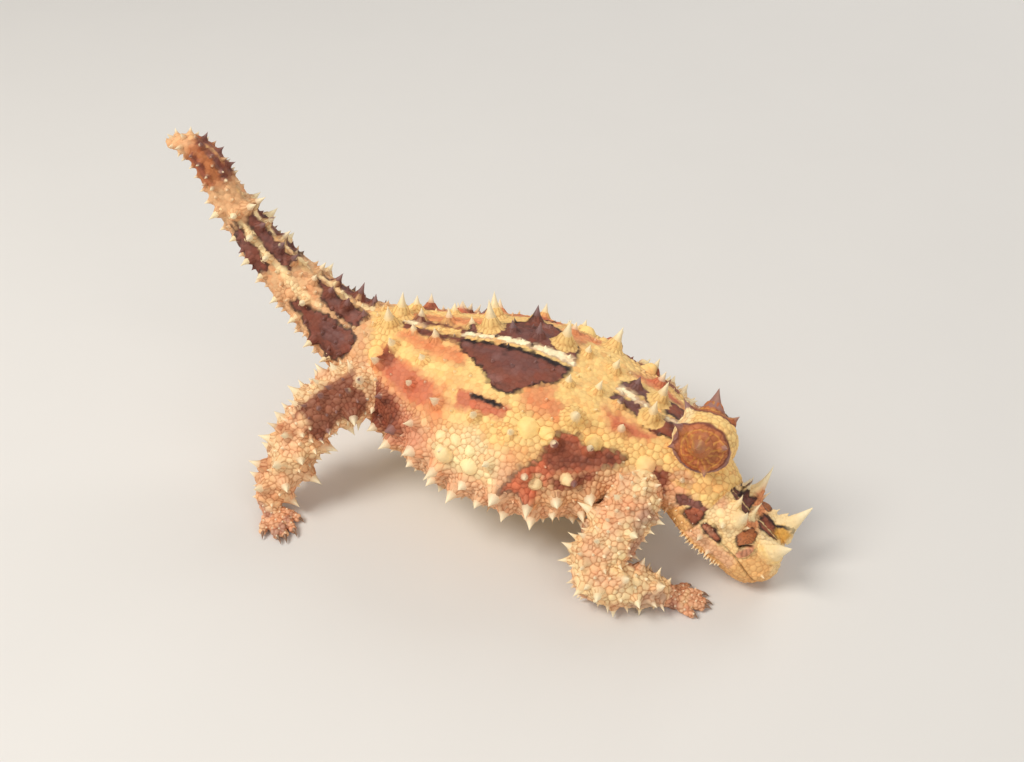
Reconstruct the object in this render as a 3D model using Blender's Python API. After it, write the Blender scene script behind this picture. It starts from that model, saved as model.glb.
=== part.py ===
"""Thorny devil, Moloch horridus: a still, life-size model in its head-down stance.

Metres, +Z up. The animal faces +X and bends a little to its right, which is -Y. The origin is on the floor
under the middle of the model's box. Tables are in millimetres.
"""

import math
import random

import bmesh
import bpy
import numpy as np
from mathutils import Matrix, Vector

MM = 0.001
GAP = 0.3  # between touching pieces
SEED = 7
SHIFT = Vector((-8.31, 1.15, 0.0))  # the middle of the box, in the frame of the tables

# The body from the tail's tip to the back of the head: centre x, y, z, then half width, height above, depth below
BODY = [
    (-71.6, 0.0, 60.6, 1.0, 0.9, 0.9),
    (-67.6, 0.0, 61.2, 2.1, 1.9, 1.8),
    (-64.2, 0.0, 59.2, 2.7, 2.5, 2.5),
    (-62.0, 0.0, 54.8, 3.0, 2.8, 2.8),
    (-58.4, 0.0, 48.2, 3.3, 3.1, 3.1),
    (-54.6, 0.0, 42.9, 3.8, 3.6, 3.5),
    (-49.8, 0.0, 37.6, 4.6, 4.3, 4.1),
    (-44.6, 0.0, 32.8, 5.6, 5.3, 5.0),
    (-39.0, 0.0, 28.2, 6.9, 6.7, 6.0),
    (-32.5, 0.0, 24.4, 9.4, 9.3, 7.4),
    (-25.0, 0.0, 21.2, 13.6, 11.7, 8.6),
    (-15.0, 0.0, 18.4, 18.6, 14.5, 9.4),
    (-4.0, 0.0, 16.8, 21.4, 16.7, 9.4),
    (6.0, 0.0, 16.2, 21.8, 16.0, 9.2),
    (15.0, -0.2, 16.2, 19.2, 13.0, 8.5),
    (23.0, -1.0, 16.6, 14.4, 10.8, 7.8),
    (29.5, -2.4, 16.9, 10.0, 8.6, 7.0),
    (34.5, -4.2, 16.2, 7.8, 7.0, 6.4),
    (39.6, -6.2, 14.8, 5.6, 4.8, 5.4),
]
BODY_UP = (0.35, 0.0, 1.0)
BODY_SQUARE = (2.05, 2.45)  # how square the section is, above and below
HUMPS = [  # x of the place, angle from the top, spread along, spread round in degrees, height
    (13.5, 24, 5.0, 15, 1.5),
    (-9.0, 62, 7.0, 20, 0.8),
    (5.0, 70, 6.0, 18, 0.9),
    (-27.0, 60, 6.0, 24, 0.7),
    (22.5, 66, 5.0, 22, 1.2),
]
TAIL_CUTS = (-61.5, -49.5, -34.0)  # x of the joints in the tail
NECK_CUT = 27.5

# The head in its own frame: along to the snout, left, up from its axis
HEAD_AT = (36.9, -5.6, 16.0)
HEAD_TURN = 7.5  # degrees to the animal's right
HEAD_BOW = 33.0  # degrees below level
HEAD_ROLL = -4.5  # degrees, left side up
HEAD = [  # along, 0, height of the axis, half width, height above, depth below
    (-3.8, 0.0, -1.6, 3.8, 3.0, 3.6),
    (-2.6, 0.0, -1.8, 5.6, 4.2, 5.4),
    (0.0, 0.0, -2.4, 6.8, 5.9, 5.4),
    (3.6, 0.0, -2.8, 7.2, 6.7, 5.0),
    (7.0, 0.0, -2.9, 7.1, 6.7, 5.0),
    (10.4, 0.0, -2.9, 6.8, 6.6, 5.2),
    (13.2, 0.0, -3.2, 6.4, 6.4, 5.3),
    (15.6, 0.0, -3.6, 5.8, 5.6, 4.7),
    (17.2, 0.0, -3.9, 4.8, 4.0, 3.8),
    (18.2, 0.0, -4.2, 3.2, 2.4, 2.4),
]
HEAD_SQUARE = (1.6, 3.0)
HEAD_RELIEF = [  # along, angle, spread along, spread round, height
    (6.4, 38, 2.8, 14, 1.0),
    (13.0, 36, 2.8, 14, 1.0),
    (4.0, 105, 3.6, 16, 0.6),
    (9.5, 0, 7.0, 15, -1.2),
    (12.5, 94, 4.0, 12, 0.35),
]
EYE_ALONG, EYE_ANGLE = 10.3, 53.0
EYE_RADIUS = 1.6
EYE_SLANT = 50.0  # degrees that the slit between the lids rises forwards from the head's axis
LID_THICK = 0.65
MOUTH_ANGLE = 74.0  # at its corners
MOUTH_FRONT = 96.0  # at the end of the snout
MOUTH_CORNER = 6.3
GROOVE = 0.34
BROW_HORN = (13.9, 34, 6.4, 2.4)  # along, angle, length, radius
BROW_HORN_WAY = (0.2, 0.4, 0.86)
BROW_HORN_CURL = (-0.4, 0.2, 0.2)

KNOB_AT = (35.1, -5.2, 26.4)
KNOB_RADII = (5.7, 5.4, 5.4)
KNOB_TURN = 2.0  # degrees to the animal's left

# Limbs, each in two lengths that meet at the elbow or knee: x, y, z, radius
LIMBS = {
    "right_upper_arm": [
        (24.6, -8.0, 18.0, 4.2),
        (25.1, -13.0, 16.6, 4.6),
        (24.2, -18.0, 13.4, 4.5),
        (22.4, -21.5, 10.0, 4.2),
        (21.1, -23.4, 7.4, 3.8),
        (20.6, -24.1, 5.8, 2.6),
    ],
    "right_forearm": [
        (19.8, -23.6, 7.0, 2.6),
        (21.4, -24.2, 6.4, 3.8),
        (24.3, -24.1, 5.7, 4.1),
        (28.1, -23.0, 4.8, 3.6),
        (31.6, -21.6, 3.7, 2.9),
        (34.0, -20.5, 2.8, 2.3),
    ],
    "left_upper_arm": [
        (22.6, 8.0, 17.0, 4.2),
        (22.2, 13.4, 15.4, 4.6),
        (20.2, 18.6, 12.2, 4.5),
        (17.7, 22.4, 9.2, 4.2),
        (16.2, 24.6, 6.8, 3.8),
        (15.6, 25.4, 5.2, 2.6),
    ],
    "left_forearm": [
        (14.8, 25.2, 5.8, 2.6),
        (16.0, 26.2, 5.4, 3.7),
        (18.2, 27.6, 4.7, 3.8),
        (20.6, 28.8, 3.9, 3.2),
        (22.6, 29.8, 3.2, 2.6),
        (24.0, 30.4, 2.6, 2.2),
    ],
    "right_thigh": [
        (-24.0, -5.0, 23.4, 4.8),
        (-29.0, -9.6, 22.9, 5.2),
        (-34.0, -13.4, 21.0, 4.8),
        (-37.0, -16.0, 18.2, 4.4),
        (-38.4, -17.6, 15.8, 3.8),
        (-38.8, -18.2, 14.4, 2.6),
    ],
    "right_shin": [
        (-38.0, -16.4, 18.2, 2.8),
        (-38.6, -17.8, 15.6, 4.2),
        (-39.6, -20.0, 12.0, 4.1),
        (-41.2, -22.8, 8.0, 3.5),
        (-42.6, -25.0, 5.0, 2.9),
        (-43.2, -26.2, 3.2, 2.4),
    ],
    "left_thigh": [
        (-24.6, 5.0, 23.0, 4.8),
        (-22.2, 11.6, 21.8, 5.2),
        (-18.6, 17.0, 18.9, 4.8),
        (-16.6, 20.6, 15.6, 4.4),
        (-16.2, 22.2, 13.2, 3.8),
        (-16.2, 22.8, 11.8, 2.6),
    ],
    "left_shin": [
        (-16.2, 20.8, 15.4, 2.8),
        (-16.6, 22.4, 13.2, 4.1),
        (-18.0, 24.8, 10.0, 3.9),
        (-19.8, 27.0, 6.8, 3.3),
        (-21.2, 28.6, 4.2, 2.8),
        (-21.8, 29.4, 3.0, 2.4),
    ],
}
LIMB_UPS = {
    "right_upper_arm": (-0.8, -0.4, 0.4),
    "right_forearm": (-0.2, -0.3, 0.9),
    "left_upper_arm": (-0.8, 0.4, 0.4),
    "left_forearm": (-0.2, 0.3, 0.9),
    "right_thigh": (-0.3, -0.3, 0.9),
    "right_shin": (-0.6, -0.6, 0.1),
    "left_thigh": (-0.3, 0.3, 0.9),
    "left_shin": (0.6, 0.6, 0.3),
}
# Paws: the way they point in degrees from +X, palm length, digit length
PAWS = {
    "right_hand": (22.0, 3.6, 4.6),
    "left_hand": (18.0, 3.6, 4.6),
    "right_foot": (-38.0, 4.0, 5.2),
    "left_foot": (28.0, 4.0, 5.2),
}
DIGIT_SPREAD = (-58, -27, 0, 27, 56)
DIGIT_LENGTHS = (0.72, 0.92, 1.0, 0.94, 0.74)
DIGIT_RADIUS = 1.0

COLOURS = {
    "skin_cream": ((0.78, 0.50, 0.22), 0.6),
    "skin_brown": ((0.22, 0.08, 0.04), 0.6),
    "horn": ((0.86, 0.66, 0.34), 0.45),
    "eye": ((0.05, 0.03, 0.02), 0.12),
}


def vec(values):
    return Vector(values[:3])


class Tube:
    """A body that follows a bent line, with its own half width, height and depth along it, in millimetres."""

    def __init__(self, stations, up, relief=(), square=BODY_SQUARE, place=None):
        self.rows = np.array([s if len(s) == 6 else (*s, s[3], s[3]) for s in stations], float)
        self.up = Vector(up)
        self.square = square
        self.place = place or Matrix.Identity(4)
        steps = np.linalg.norm(np.diff(self.rows[:, :3], axis=0), axis=1)
        self.knots = np.concatenate([[0], np.cumsum(steps)])
        self.length = self.knots[-1]
        self.slopes = np.gradient(self.rows, self.knots, axis=0)
        self.relief = [
            (self.at(x), math.radians(a), along, math.radians(round_), height)
            for x, a, along, round_, height in relief
        ]

    def at(self, x):
        """How far along the line the first coordinate reaches x."""
        return float(np.interp(x, self.rows[:, 0], self.knots))

    def row(self, s):
        """The centre and the three sizes at s, by cubic pieces through the stations."""
        s = min(max(s, 0.0), self.length)
        i = min(int(np.searchsorted(self.knots, s, "right")) - 1, len(self.knots) - 2)
        h = self.knots[i + 1] - self.knots[i]
        t = (s - self.knots[i]) / h
        a = 2 * t**3 - 3 * t**2 + 1
        b = t**3 - 2 * t**2 + t
        c = -2 * t**3 + 3 * t**2
        d = t**3 - t**2
        rows, slopes = self.rows, self.slopes
        return a * rows[i] + b * h * slopes[i] + c * rows[i + 1] + d * h * slopes[i + 1]

    def frame(self, s):
        """Centre, direction, left and up at s, and the sizes."""
        near = 0.4
        row = self.row(s)
        along = (vec(self.row(s + near)) - vec(self.row(s - near))).normalized()
        left = self.up.cross(along).normalized()
        return vec(row), along, left, along.cross(left), row[3:]

    def point(self, s, angle, grow=0.0):
        """A point of the skin: angle 0 is the back, positive towards the left side."""
        centre, _, left, up, (side, above, below) = self.frame(s)
        height = above if math.cos(angle) > 0 else below
        power = 2 / self.square[0 if math.cos(angle) > 0 else 1]
        across = math.copysign(abs(math.sin(angle)) ** power, math.sin(angle))
        upward = math.copysign(abs(math.cos(angle)) ** power, math.cos(angle))
        offset = left * (across * side) + up * (upward * height)
        lift = grow
        for at, turn, along, round_, size in self.relief:
            reach = math.exp(-(((s - at) / along) ** 2) - ((abs(angle) - turn) / round_) ** 2)
            lift += size * reach
        return self.place @ (centre + offset + offset.normalized() * lift)

    def normal(self, s, angle):
        step_s, step_a = 0.5, 0.05
        along = self.point(s + step_s, angle) - self.point(s - step_s, angle)
        round_ = self.point(s, angle + step_a) - self.point(s, angle - step_a)
        out = round_.cross(along).normalized()
        return out if out.dot(self.point(s, angle) - self.place @ vec(self.row(s))) > 0 else -out

    def mesh(self, start, end, rings, sides, grow=0.0):
        """A closed body between two places along the line, with flat ends, grown on all sides by grow."""
        bm = bmesh.new()
        loops = []
        for n, s in enumerate(np.linspace(start, end, rings)):
            along = self.place.to_3x3() @ self.frame(s)[1]
            shift = along * grow * {0: -1, rings - 1: 1}.get(n, 0)
            turns = [math.tau * k / sides - math.pi for k in range(sides)]
            loops.append([bm.verts.new((self.point(s, a, grow) + shift) * MM) for a in turns])
        return close_loops(bm, loops)


def close_loops(bm, loops):
    """Bridges loops of equal length, closes both ends and turns every face outwards."""
    count = len(loops[0])
    for low, high in zip(loops, loops[1:]):
        for k in range(count):
            n = (k + 1) % count
            bm.faces.new((low[k], low[n], high[n], high[k]))
    bm.faces.new(loops[0][::-1])
    bm.faces.new(loops[-1])
    bmesh.ops.triangulate(bm, faces=bm.faces)
    bmesh.ops.recalc_face_normals(bm, faces=bm.faces)
    return bm


def frame_of(direction):
    """Two directions square to the one given."""
    side = direction.orthogonal().normalized()
    return side, direction.cross(side).normalized()


def spine(root, direction, length, radius, sides=5, sink=0.9, lean=None):
    """A thorn with its root sunk in the skin and its tip bent by lean; a long one has a flared foot."""
    bm = bmesh.new()
    side, other = frame_of(direction)
    bend = Vector(lean or (0, 0, 0))
    loops = []
    for height, width, turn in ((-sink, 1.2, 0.0), (0.36 * length, 0.46, 0.25))[: 2 if length > 3.0 else 1]:
        centre = root + direction * height + bend * (max(height, 0) / length) ** 2
        ring = []
        for k in range(sides):
            a = math.tau * (k + turn) / sides
            out = side * math.cos(a) + other * math.sin(a)
            ring.append(bm.verts.new((centre + out * radius * width) * MM))
        loops.append(ring)
    tip = bm.verts.new((root + direction * length + bend) * MM)
    for k in range(sides):
        n = (k + 1) % sides
        if len(loops) > 1:
            bm.faces.new((loops[0][k], loops[0][n], loops[1][n], loops[1][k]))
        bm.faces.new((loops[-1][k], loops[-1][n], tip))
    bm.faces.new(loops[0][::-1])
    bmesh.ops.triangulate(bm, faces=bm.faces)
    bmesh.ops.recalc_face_normals(bm, faces=bm.faces)
    return bm


def ball(centre, radii, turn=None, rings=6, sides=10):
    bm = bmesh.new()
    bmesh.ops.create_uvsphere(bm, u_segments=sides, v_segments=rings, radius=1.0)
    size = Matrix.Diagonal((*[r * MM for r in radii], 1.0))
    bm.transform(Matrix.Translation(centre * MM) @ (turn or Matrix.Identity(4)) @ size)
    bmesh.ops.triangulate(bm, faces=bm.faces)
    return bm


def rope(points, radii, sides=6):
    """A closed bent rod through points, with its own radius at each."""
    bm = bmesh.new()
    loops = []
    for i, (point, radius) in enumerate(zip(points, radii)):
        ahead = points[min(i + 1, len(points) - 1)] - points[max(i - 1, 0)]
        side, other = level_frame(ahead.normalized())
        ring = []
        for k in range(sides):
            a = math.tau * k / sides
            ring.append(bm.verts.new((point + (side * math.cos(a) + other * math.sin(a)) * radius) * MM))
        loops.append(ring)
    return close_loops(bm, loops)


def level_frame(direction):
    """Two directions square to the one given, the first of them level."""
    side = Vector((0, 0, 1)).cross(direction)
    side = side.normalized() if side.length > 0.05 else Vector((1, 0, 0))
    return side, direction.cross(side).normalized()


def material(name):
    found = bpy.data.materials.get(name)
    if found:
        return found
    colour, rough = COLOURS[name]
    made = bpy.data.materials.new(name)
    made.use_nodes = True
    shader = made.node_tree.nodes["Principled BSDF"]
    shader.inputs["Base Color"].default_value = (*colour, 1.0)
    shader.inputs["Roughness"].default_value = rough
    shader.inputs["Metallic"].default_value = 0.0
    return made


def solid(name, bm, finish):
    mesh = bpy.data.meshes.new(name)
    bm.to_mesh(mesh)
    bm.free()
    obj = bpy.data.objects.new(name, mesh)
    bpy.context.scene.collection.objects.link(obj)
    mesh.materials.append(material(finish))
    return obj


def combine(obj, pieces, operation):
    """Joins the pieces to the object, or cuts them from it, in one Boolean, and applies it."""
    if not pieces:
        return
    group = bpy.data.collections.new("pieces")
    bpy.context.scene.collection.children.link(group)
    for n, bm in enumerate(pieces):
        mesh = bpy.data.meshes.new(f"piece{n}")
        bm.to_mesh(mesh)
        bm.free()
        group.objects.link(bpy.data.objects.new(f"piece{n}", mesh))
    change = obj.modifiers.new("pieces", "BOOLEAN")
    change.operation = operation
    change.solver = "MANIFOLD"
    change.operand_type = "COLLECTION"
    change.collection = group
    graph = bpy.context.evaluated_depsgraph_get()
    made = bpy.data.meshes.new_from_object(obj.evaluated_get(graph), depsgraph=graph)
    obj.modifiers.clear()
    old, obj.data = obj.data, made
    bpy.data.meshes.remove(old)
    for piece in list(group.objects):
        bpy.data.objects.remove(piece)
    bpy.data.collections.remove(group)


def keep_largest(obj):
    """Drops all but the closed surface that holds the most."""
    bm = bmesh.new()
    bm.from_mesh(obj.data)
    left, parts = set(bm.faces), []
    while left:
        stack, part = [left.pop()], []
        while stack:
            face = stack.pop()
            part.append(face)
            near = {other for edge in face.edges for other in edge.link_faces} & left
            left -= near
            stack.extend(near)
        parts.append(part)
    parts.sort(key=volume_of, reverse=True)
    loose = [face for part in parts[1:] for face in part]
    bmesh.ops.delete(bm, geom=loose, context="FACES")
    bm.to_mesh(obj.data)
    bm.free()


def volume_of(faces):
    return sum(face.calc_center_median().dot(face.normal) * face.calc_area() for face in faces)


def floor_slab():
    bm = bmesh.new()
    bmesh.ops.create_cube(bm, size=1.0)
    bm.transform(Matrix.Translation((0, 0, -0.01)) @ Matrix.Diagonal((0.3, 0.3, 0.02, 1.0)))
    return bm


def make_node(name, bm, finish, joined=(), cut=()):
    obj = solid(name, bm, finish)
    combine(obj, list(joined), "UNION")
    combine(obj, list(cut), "DIFFERENCE")
    keep_largest(obj)
    obj.location = -SHIFT * MM
    return obj


class Keepout:
    """The room that other nodes take, as spheres along their lines, so that thorns stay clear of them."""

    def __init__(self, tubes):
        self.spheres = []
        for tube, start, end in tubes:
            for s in np.linspace(start, end, 14):
                centre, _, _, _, sizes = tube.frame(s)
                self.spheres.append((tube.place @ centre, max(sizes)))

    def clear(self, root, tip, room=0.9):
        for centre, radius in self.spheres:
            for share in (0.0, 0.5, 1.0):
                if (root.lerp(tip, share) - centre).length < radius + room:
                    return False
        return True


def thorns_on(tube, rows, span, keepout, rng, sweep=(0, 0, 0)):
    """Thorns in lengthwise rows on both sides: angle, first x, last x, spacing, length, radius, variation."""
    made = []
    for angle, first, last, spacing, length, radius, pattern in rows:
        count = max(1, round((tube.at(last) - tube.at(first)) / spacing) + 1)
        places = np.linspace(tube.at(first), tube.at(last), count)
        for n, s in enumerate(places):
            for side in (-1, 1) if angle else (1,):
                size = pattern[n % len(pattern)] * rng.uniform(0.9, 1.1)
                s_here = s + rng.uniform(-0.12, 0.12) * spacing
                a_here = side * math.radians(angle + rng.uniform(-2.0, 2.0))
                if not span[0] + 1.3 * radius < s_here < span[1] - 1.3 * radius:
                    continue
                root = tube.point(s_here, a_here)
                out = (tube.normal(s_here, a_here) + Vector(sweep)).normalized()
                tip = root + out * length * size
                if keepout.clear(root, tip) and tip.z > 0.6:
                    made.append(spine(root, out, length * size, radius * (0.55 + 0.45 * size)))
    return made


# Rows of thorns: angle from the back's middle, first x, last x, spacing, length, radius, pattern of sizes
TRUNK_ROWS = [
    (11, -31, 25, 5.2, 3.5, 1.35, (1.25, 0.75, 0.9, 0.7, 1.3, 0.8, 0.95)),
    (30, -29, 22, 8.6, 3.1, 1.35, (1.0, 0.8, 1.25)),
    (50, -28, 19, 8.4, 2.7, 1.5, (1.1, 0.85, 1.3)),
    (70, -24, 16, 7.6, 2.9, 1.45, (0.9, 1.25, 1.0)),
    (87, -26, 20, 5.6, 3.1, 1.3, (1.2, 0.8, 1.0)),
    (101, -24, 18, 4.6, 2.7, 1.05, (1.0, 1.2, 0.75)),
    (117, -20, 16, 6.0, 1.6, 0.8, (1.0, 0.8)),
]
TAIL_ROWS = [
    (16, -66, -36, 4.6, 2.9, 1.0, (1.1, 0.75, 0.95)),
    (62, -64, -37, 5.4, 2.5, 1.0, (0.9, 1.15)),
    (104, -64, -37, 4.8, 2.6, 0.95, (1.0, 0.8)),
    (146, -63, -39, 5.6, 1.9, 0.85, (1.0, 0.8)),
]
TIP_ROWS = [
    (28, -70, -62, 2.3, 1.7, 0.62, (1.0, 0.8)),
    (80, -70, -62, 2.3, 1.6, 0.6, (0.9, 1.1)),
    (132, -69, -62, 2.4, 1.3, 0.55, (1.0,)),
]
NECK_ROWS = [
    (58, 29, 34, 4.4, 1.9, 1.0, (1.0, 1.2)),
    (84, 29, 35, 3.2, 1.9, 0.85, (1.1, 0.8)),
    (112, 29, 34, 3.0, 1.4, 0.7, (1.0, 0.8)),
]
LIMB_ANGLES = (-165, -115, -62, -14, 38, 92, 146)


def limb_thorns(tube, span, keepout, rng, spacing=3.3, length=2.0, radius=0.85):
    """Thorns round a limb, in staggered rings."""
    made = []
    count = max(1, round((span[1] - span[0]) / spacing))
    for n in range(count):
        s = span[0] + (n + 0.5) * (span[1] - span[0]) / count
        for k, angle in enumerate(LIMB_ANGLES):
            if (n + k) % 2:
                continue
            a = math.radians(angle + rng.uniform(-8, 8))
            size = rng.uniform(0.75, 1.25)
            root = tube.point(s, a)
            out = tube.normal(s, a)
            tip = root + out * length * size
            if keepout.clear(root, tip) and tip.z > 0.6 and root.z > 0.9:
                made.append(spine(root, out, length * size, radius * size))
    return made


def head_frame():
    """The head's own frame: +X to the snout, +Y left, +Z up from the crown."""
    turn = Matrix.Rotation(math.radians(-HEAD_TURN), 4, "Z") @ Matrix.Rotation(math.radians(HEAD_BOW), 4, "Y")
    return Matrix.Translation(HEAD_AT) @ turn @ Matrix.Rotation(math.radians(HEAD_ROLL), 4, "X")


# Thorns of the head on both sides: along, angle, length, radius, lean along, out, up of the tip
HEAD_THORNS = [
    (6.6, 36, 4.8, 1.9, -1.5, 0.9, 1.0),
    (8.3, 38, 2.4, 0.7, 0.0, 0.2, 0.4),
    (4.6, 23, 2.8, 1.1, -0.8, 0.3, 0.6),
    (8.2, 11, 2.4, 0.8, -0.4, 0.0, 0.8),
    (5.0, 52, 2.2, 1.2, 0.1, 0.4, 0.2),
    (3.9, 90, 2.0, 1.1, -0.2, 0.4, 0.0),
    (6.8, 97, 1.6, 0.9, -0.2, 0.3, 0.0),
    (16.5, 66, 1.0, 0.55, 0.2, 0.2, 0.3),
]
JAW_FRINGE = (120, 2.4, 9.4, 1.4, 1.2, 0.55)  # angle, first, last, spacing, length, radius


def head_pieces(head, rng):
    """What is joined to the head: its thorns, the fringe of the jaw and the bulge of the lids."""
    turn = head.place.to_3x3()
    made = []
    for side in (-1, 1):
        for along, angle, length, radius, *lean in HEAD_THORNS:
            s, a = head.at(along), side * math.radians(angle)
            bend = turn @ Vector((lean[0], side * lean[1], lean[2]))
            size = rng.uniform(0.94, 1.06)
            made.append(spine(head.point(s, a), head.normal(s, a), length * size, radius, lean=bend))
        angle, first, last, spacing, length, radius = JAW_FRINGE
        for n in range(int((last - first) / spacing) + 1):
            s, a = head.at(first + n * spacing), side * math.radians(angle)
            out = (head.normal(s, a) + turn @ Vector((-0.3, 0, 0))).normalized()
            made.append(spine(head.point(s, a), out, length * rng.uniform(0.8, 1.2), radius, sides=4))
        made.append(ball(eye_centre(head, side), [EYE_RADIUS + GAP + LID_THICK] * 3, rings=8, sides=12))
    return made


def eye_centre(head, side):
    s, a = head.at(EYE_ALONG), side * math.radians(EYE_ANGLE)
    return head.point(s, a) - head.normal(s, a) * (EYE_RADIUS * 0.7)


def head_cuts(head):
    """What is cut from the head: sockets, the slits between the lids, nostrils, ears and the line of the mouth."""
    made = []
    for side in (-1, 1):
        centre = eye_centre(head, side)
        s, a = head.at(EYE_ALONG), side * math.radians(EYE_ANGLE)
        out = head.normal(s, a)
        made.append(ball(centre, [EYE_RADIUS + GAP] * 3, rings=7, sides=10))
        slant = math.radians(EYE_SLANT)
        along = head.place.to_3x3() @ Vector((math.cos(slant), 0, math.sin(slant)))
        across = out.cross(along).normalized() * side
        turn = Matrix((across.cross(out), across, out)).transposed().to_4x4()
        slit = ball(centre + out * (EYE_RADIUS + 0.7), (1.45, 0.3, 1.4), turn, rings=6, sides=8)
        made.append(slit)
        nose = head.at(16.0), side * math.radians(42)
        made.append(ball(head.point(*nose), (0.5, 0.5, 0.5), rings=4, sides=6))
        ear = head.at(4.6), side * math.radians(68)
        made.append(ball(head.point(*ear) + head.normal(*ear) * 0.25, (0.75, 0.75, 1.15), turn, rings=4, sides=7))
    made.append(mouth_groove(head))
    return made


def mouth_groove(head):
    """A groove between the lips, from one corner of the mouth round the snout to the other."""
    sides = []
    for side in (-1, 1):
        run = []
        for share in np.linspace(0, 1, 8):
            s = head.at(MOUTH_CORNER) * (1 - share) + head.length * share
            angle = MOUTH_ANGLE + (MOUTH_FRONT - MOUTH_ANGLE) * share**2
            run.append(head.point(s, side * math.radians(angle)))
        sides.append(run)
    points = sides[0] + sides[1][::-1]
    return rope(points, [GROOVE] * len(points), sides=4)


def horn(head, side, cut):
    """The great horn of the brow, with two teeth behind it, as a node that stands on the head."""
    turn = head.place.to_3x3()
    along, angle, length, radius = BROW_HORN
    root = head.point(head.at(along), side * math.radians(angle))
    way = (turn @ Vector((BROW_HORN_WAY[0], side * BROW_HORN_WAY[1], BROW_HORN_WAY[2]))).normalized()
    curl = turn @ Vector((BROW_HORN_CURL[0], side * BROW_HORN_CURL[1], BROW_HORN_CURL[2]))
    points, radii = [], []
    for share, size in ((-0.3, 1.05), (0.0, 1.0), (0.25, 0.7), (0.55, 0.42), (0.8, 0.22), (1.0, 0.05)):
        points.append(root + way * length * share + curl * max(share, 0.0) ** 2)
        radii.append(radius * size)
    teeth = []
    for back, height, thick in ((-1.6, 2.5, 1.15), (-2.9, 1.9, 0.85)):
        foot = head.point(head.at(along + back), side * math.radians(angle))
        teeth.append(spine(foot - way * 0.5, way, height, thick))
    name = "left_horn" if side > 0 else "right_horn"
    return make_node(name, rope(points, radii, sides=8), "horn", teeth, cut)


def paw(name, limb, rng):
    """Palm or sole with five clawed digits, flat underneath."""
    heading, palm, reach = PAWS[name]
    wrist = vec(limb.row(limb.length))
    way = Vector((math.cos(math.radians(heading)), math.sin(math.radians(heading)), 0))
    heel = wrist - vec(limb.row(limb.length - 1.0))
    start = wrist - heel.normalized() * 0.3
    side = 1 if name.startswith("left") else -1
    middle = Vector((*(start.xy + way.xy * palm * 0.5), 1.35))
    front = Vector((*(start.xy + way.xy * palm), 1.05))
    body = rope([start, middle, front], [2.2, 2.1, 1.5], sides=8)
    parts = []
    for spread, share in zip(DIGIT_SPREAD, DIGIT_LENGTHS):
        turn = Matrix.Rotation(math.radians(spread * side), 3, "Z")
        out = turn @ way
        root = middle + (turn @ way) * 0.9
        length = reach * share
        knuckle = Vector((*(root.xy + out.xy * length * 0.45), 1.25))
        end = Vector((*(root.xy + out.xy * length * 0.85), 0.75))
        claw = Vector((*(root.xy + out.xy * (length * 1.3)), 0.18))
        size = DIGIT_RADIUS
        parts.append(rope([root, knuckle, end, claw], [size * 1.1, size, size * 0.75, 0.13], sides=5))
    for n in range(3):
        at = start.lerp(middle, 0.3 + 0.3 * n) + Vector((0, 0, 1.7))
        parts.append(spine(at, (Vector((0, 0, 1)) + way * rng.uniform(-0.4, 0.3)).normalized(), 1.0, 0.6, sides=4))
    cut = [floor_slab(), limb.mesh(0.0, limb.length, 7, 9, GAP)]
    return make_node(name, body, "skin_cream", parts, cut)


def limb_nodes(names, limbs, trunk_cut, rng):
    """Upper and lower length and paw, the lower cut clear of the upper, and the paw of the lower."""
    upper, lower = (limbs[name] for name in names[:2])
    below = Keepout([(lower, 0.0, lower.length)])
    for name, limb, first, room, cut in (
        (names[0], upper, 6.0, below, trunk_cut),
        (names[1], lower, 2.6, Keepout([]), [upper.mesh(0.0, upper.length, 7, 9, GAP)]),
    ):
        thorns = limb_thorns(limb, (first, limb.length - 1.2), room, rng)
        make_node(name, limb.mesh(0.0, limb.length, 7, 9), "skin_cream", thorns, cut)
    paw(names[2], lower, rng)


def knob(head, cut, rng):
    """The false head: a rounded knob on the nape with a great thorn on each side."""
    centre = Vector(KNOB_AT)
    turn = Matrix.Rotation(math.radians(KNOB_TURN), 4, "Z")
    lump = ball(centre, KNOB_RADII, turn, rings=8, sides=12)
    thorns = []
    for side in (-1, 1):
        for along, out, up, length, radius in (
            (0.0, 0.84, 0.5, 4.7, 2.1),
            (-0.6, 0.42, 0.62, 2.8, 1.2),
            (-0.75, 0.62, 0.1, 1.9, 1.0),
            (0.62, 0.6, 0.42, 1.9, 1.0),
            (0.2, 0.8, -0.35, 1.7, 0.9),
        ):
            way = (turn.to_3x3() @ Vector((along, side * out, up))).normalized()
            local = turn.to_3x3().transposed() @ way
            reach = 1 / math.sqrt(sum((c / r) ** 2 for c, r in zip(local, KNOB_RADII)))
            thorns.append(spine(centre + way * reach, way, length * rng.uniform(0.95, 1.05), radius))
    return make_node("nuchal_knob", lump, "skin_brown", thorns, cut)


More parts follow.
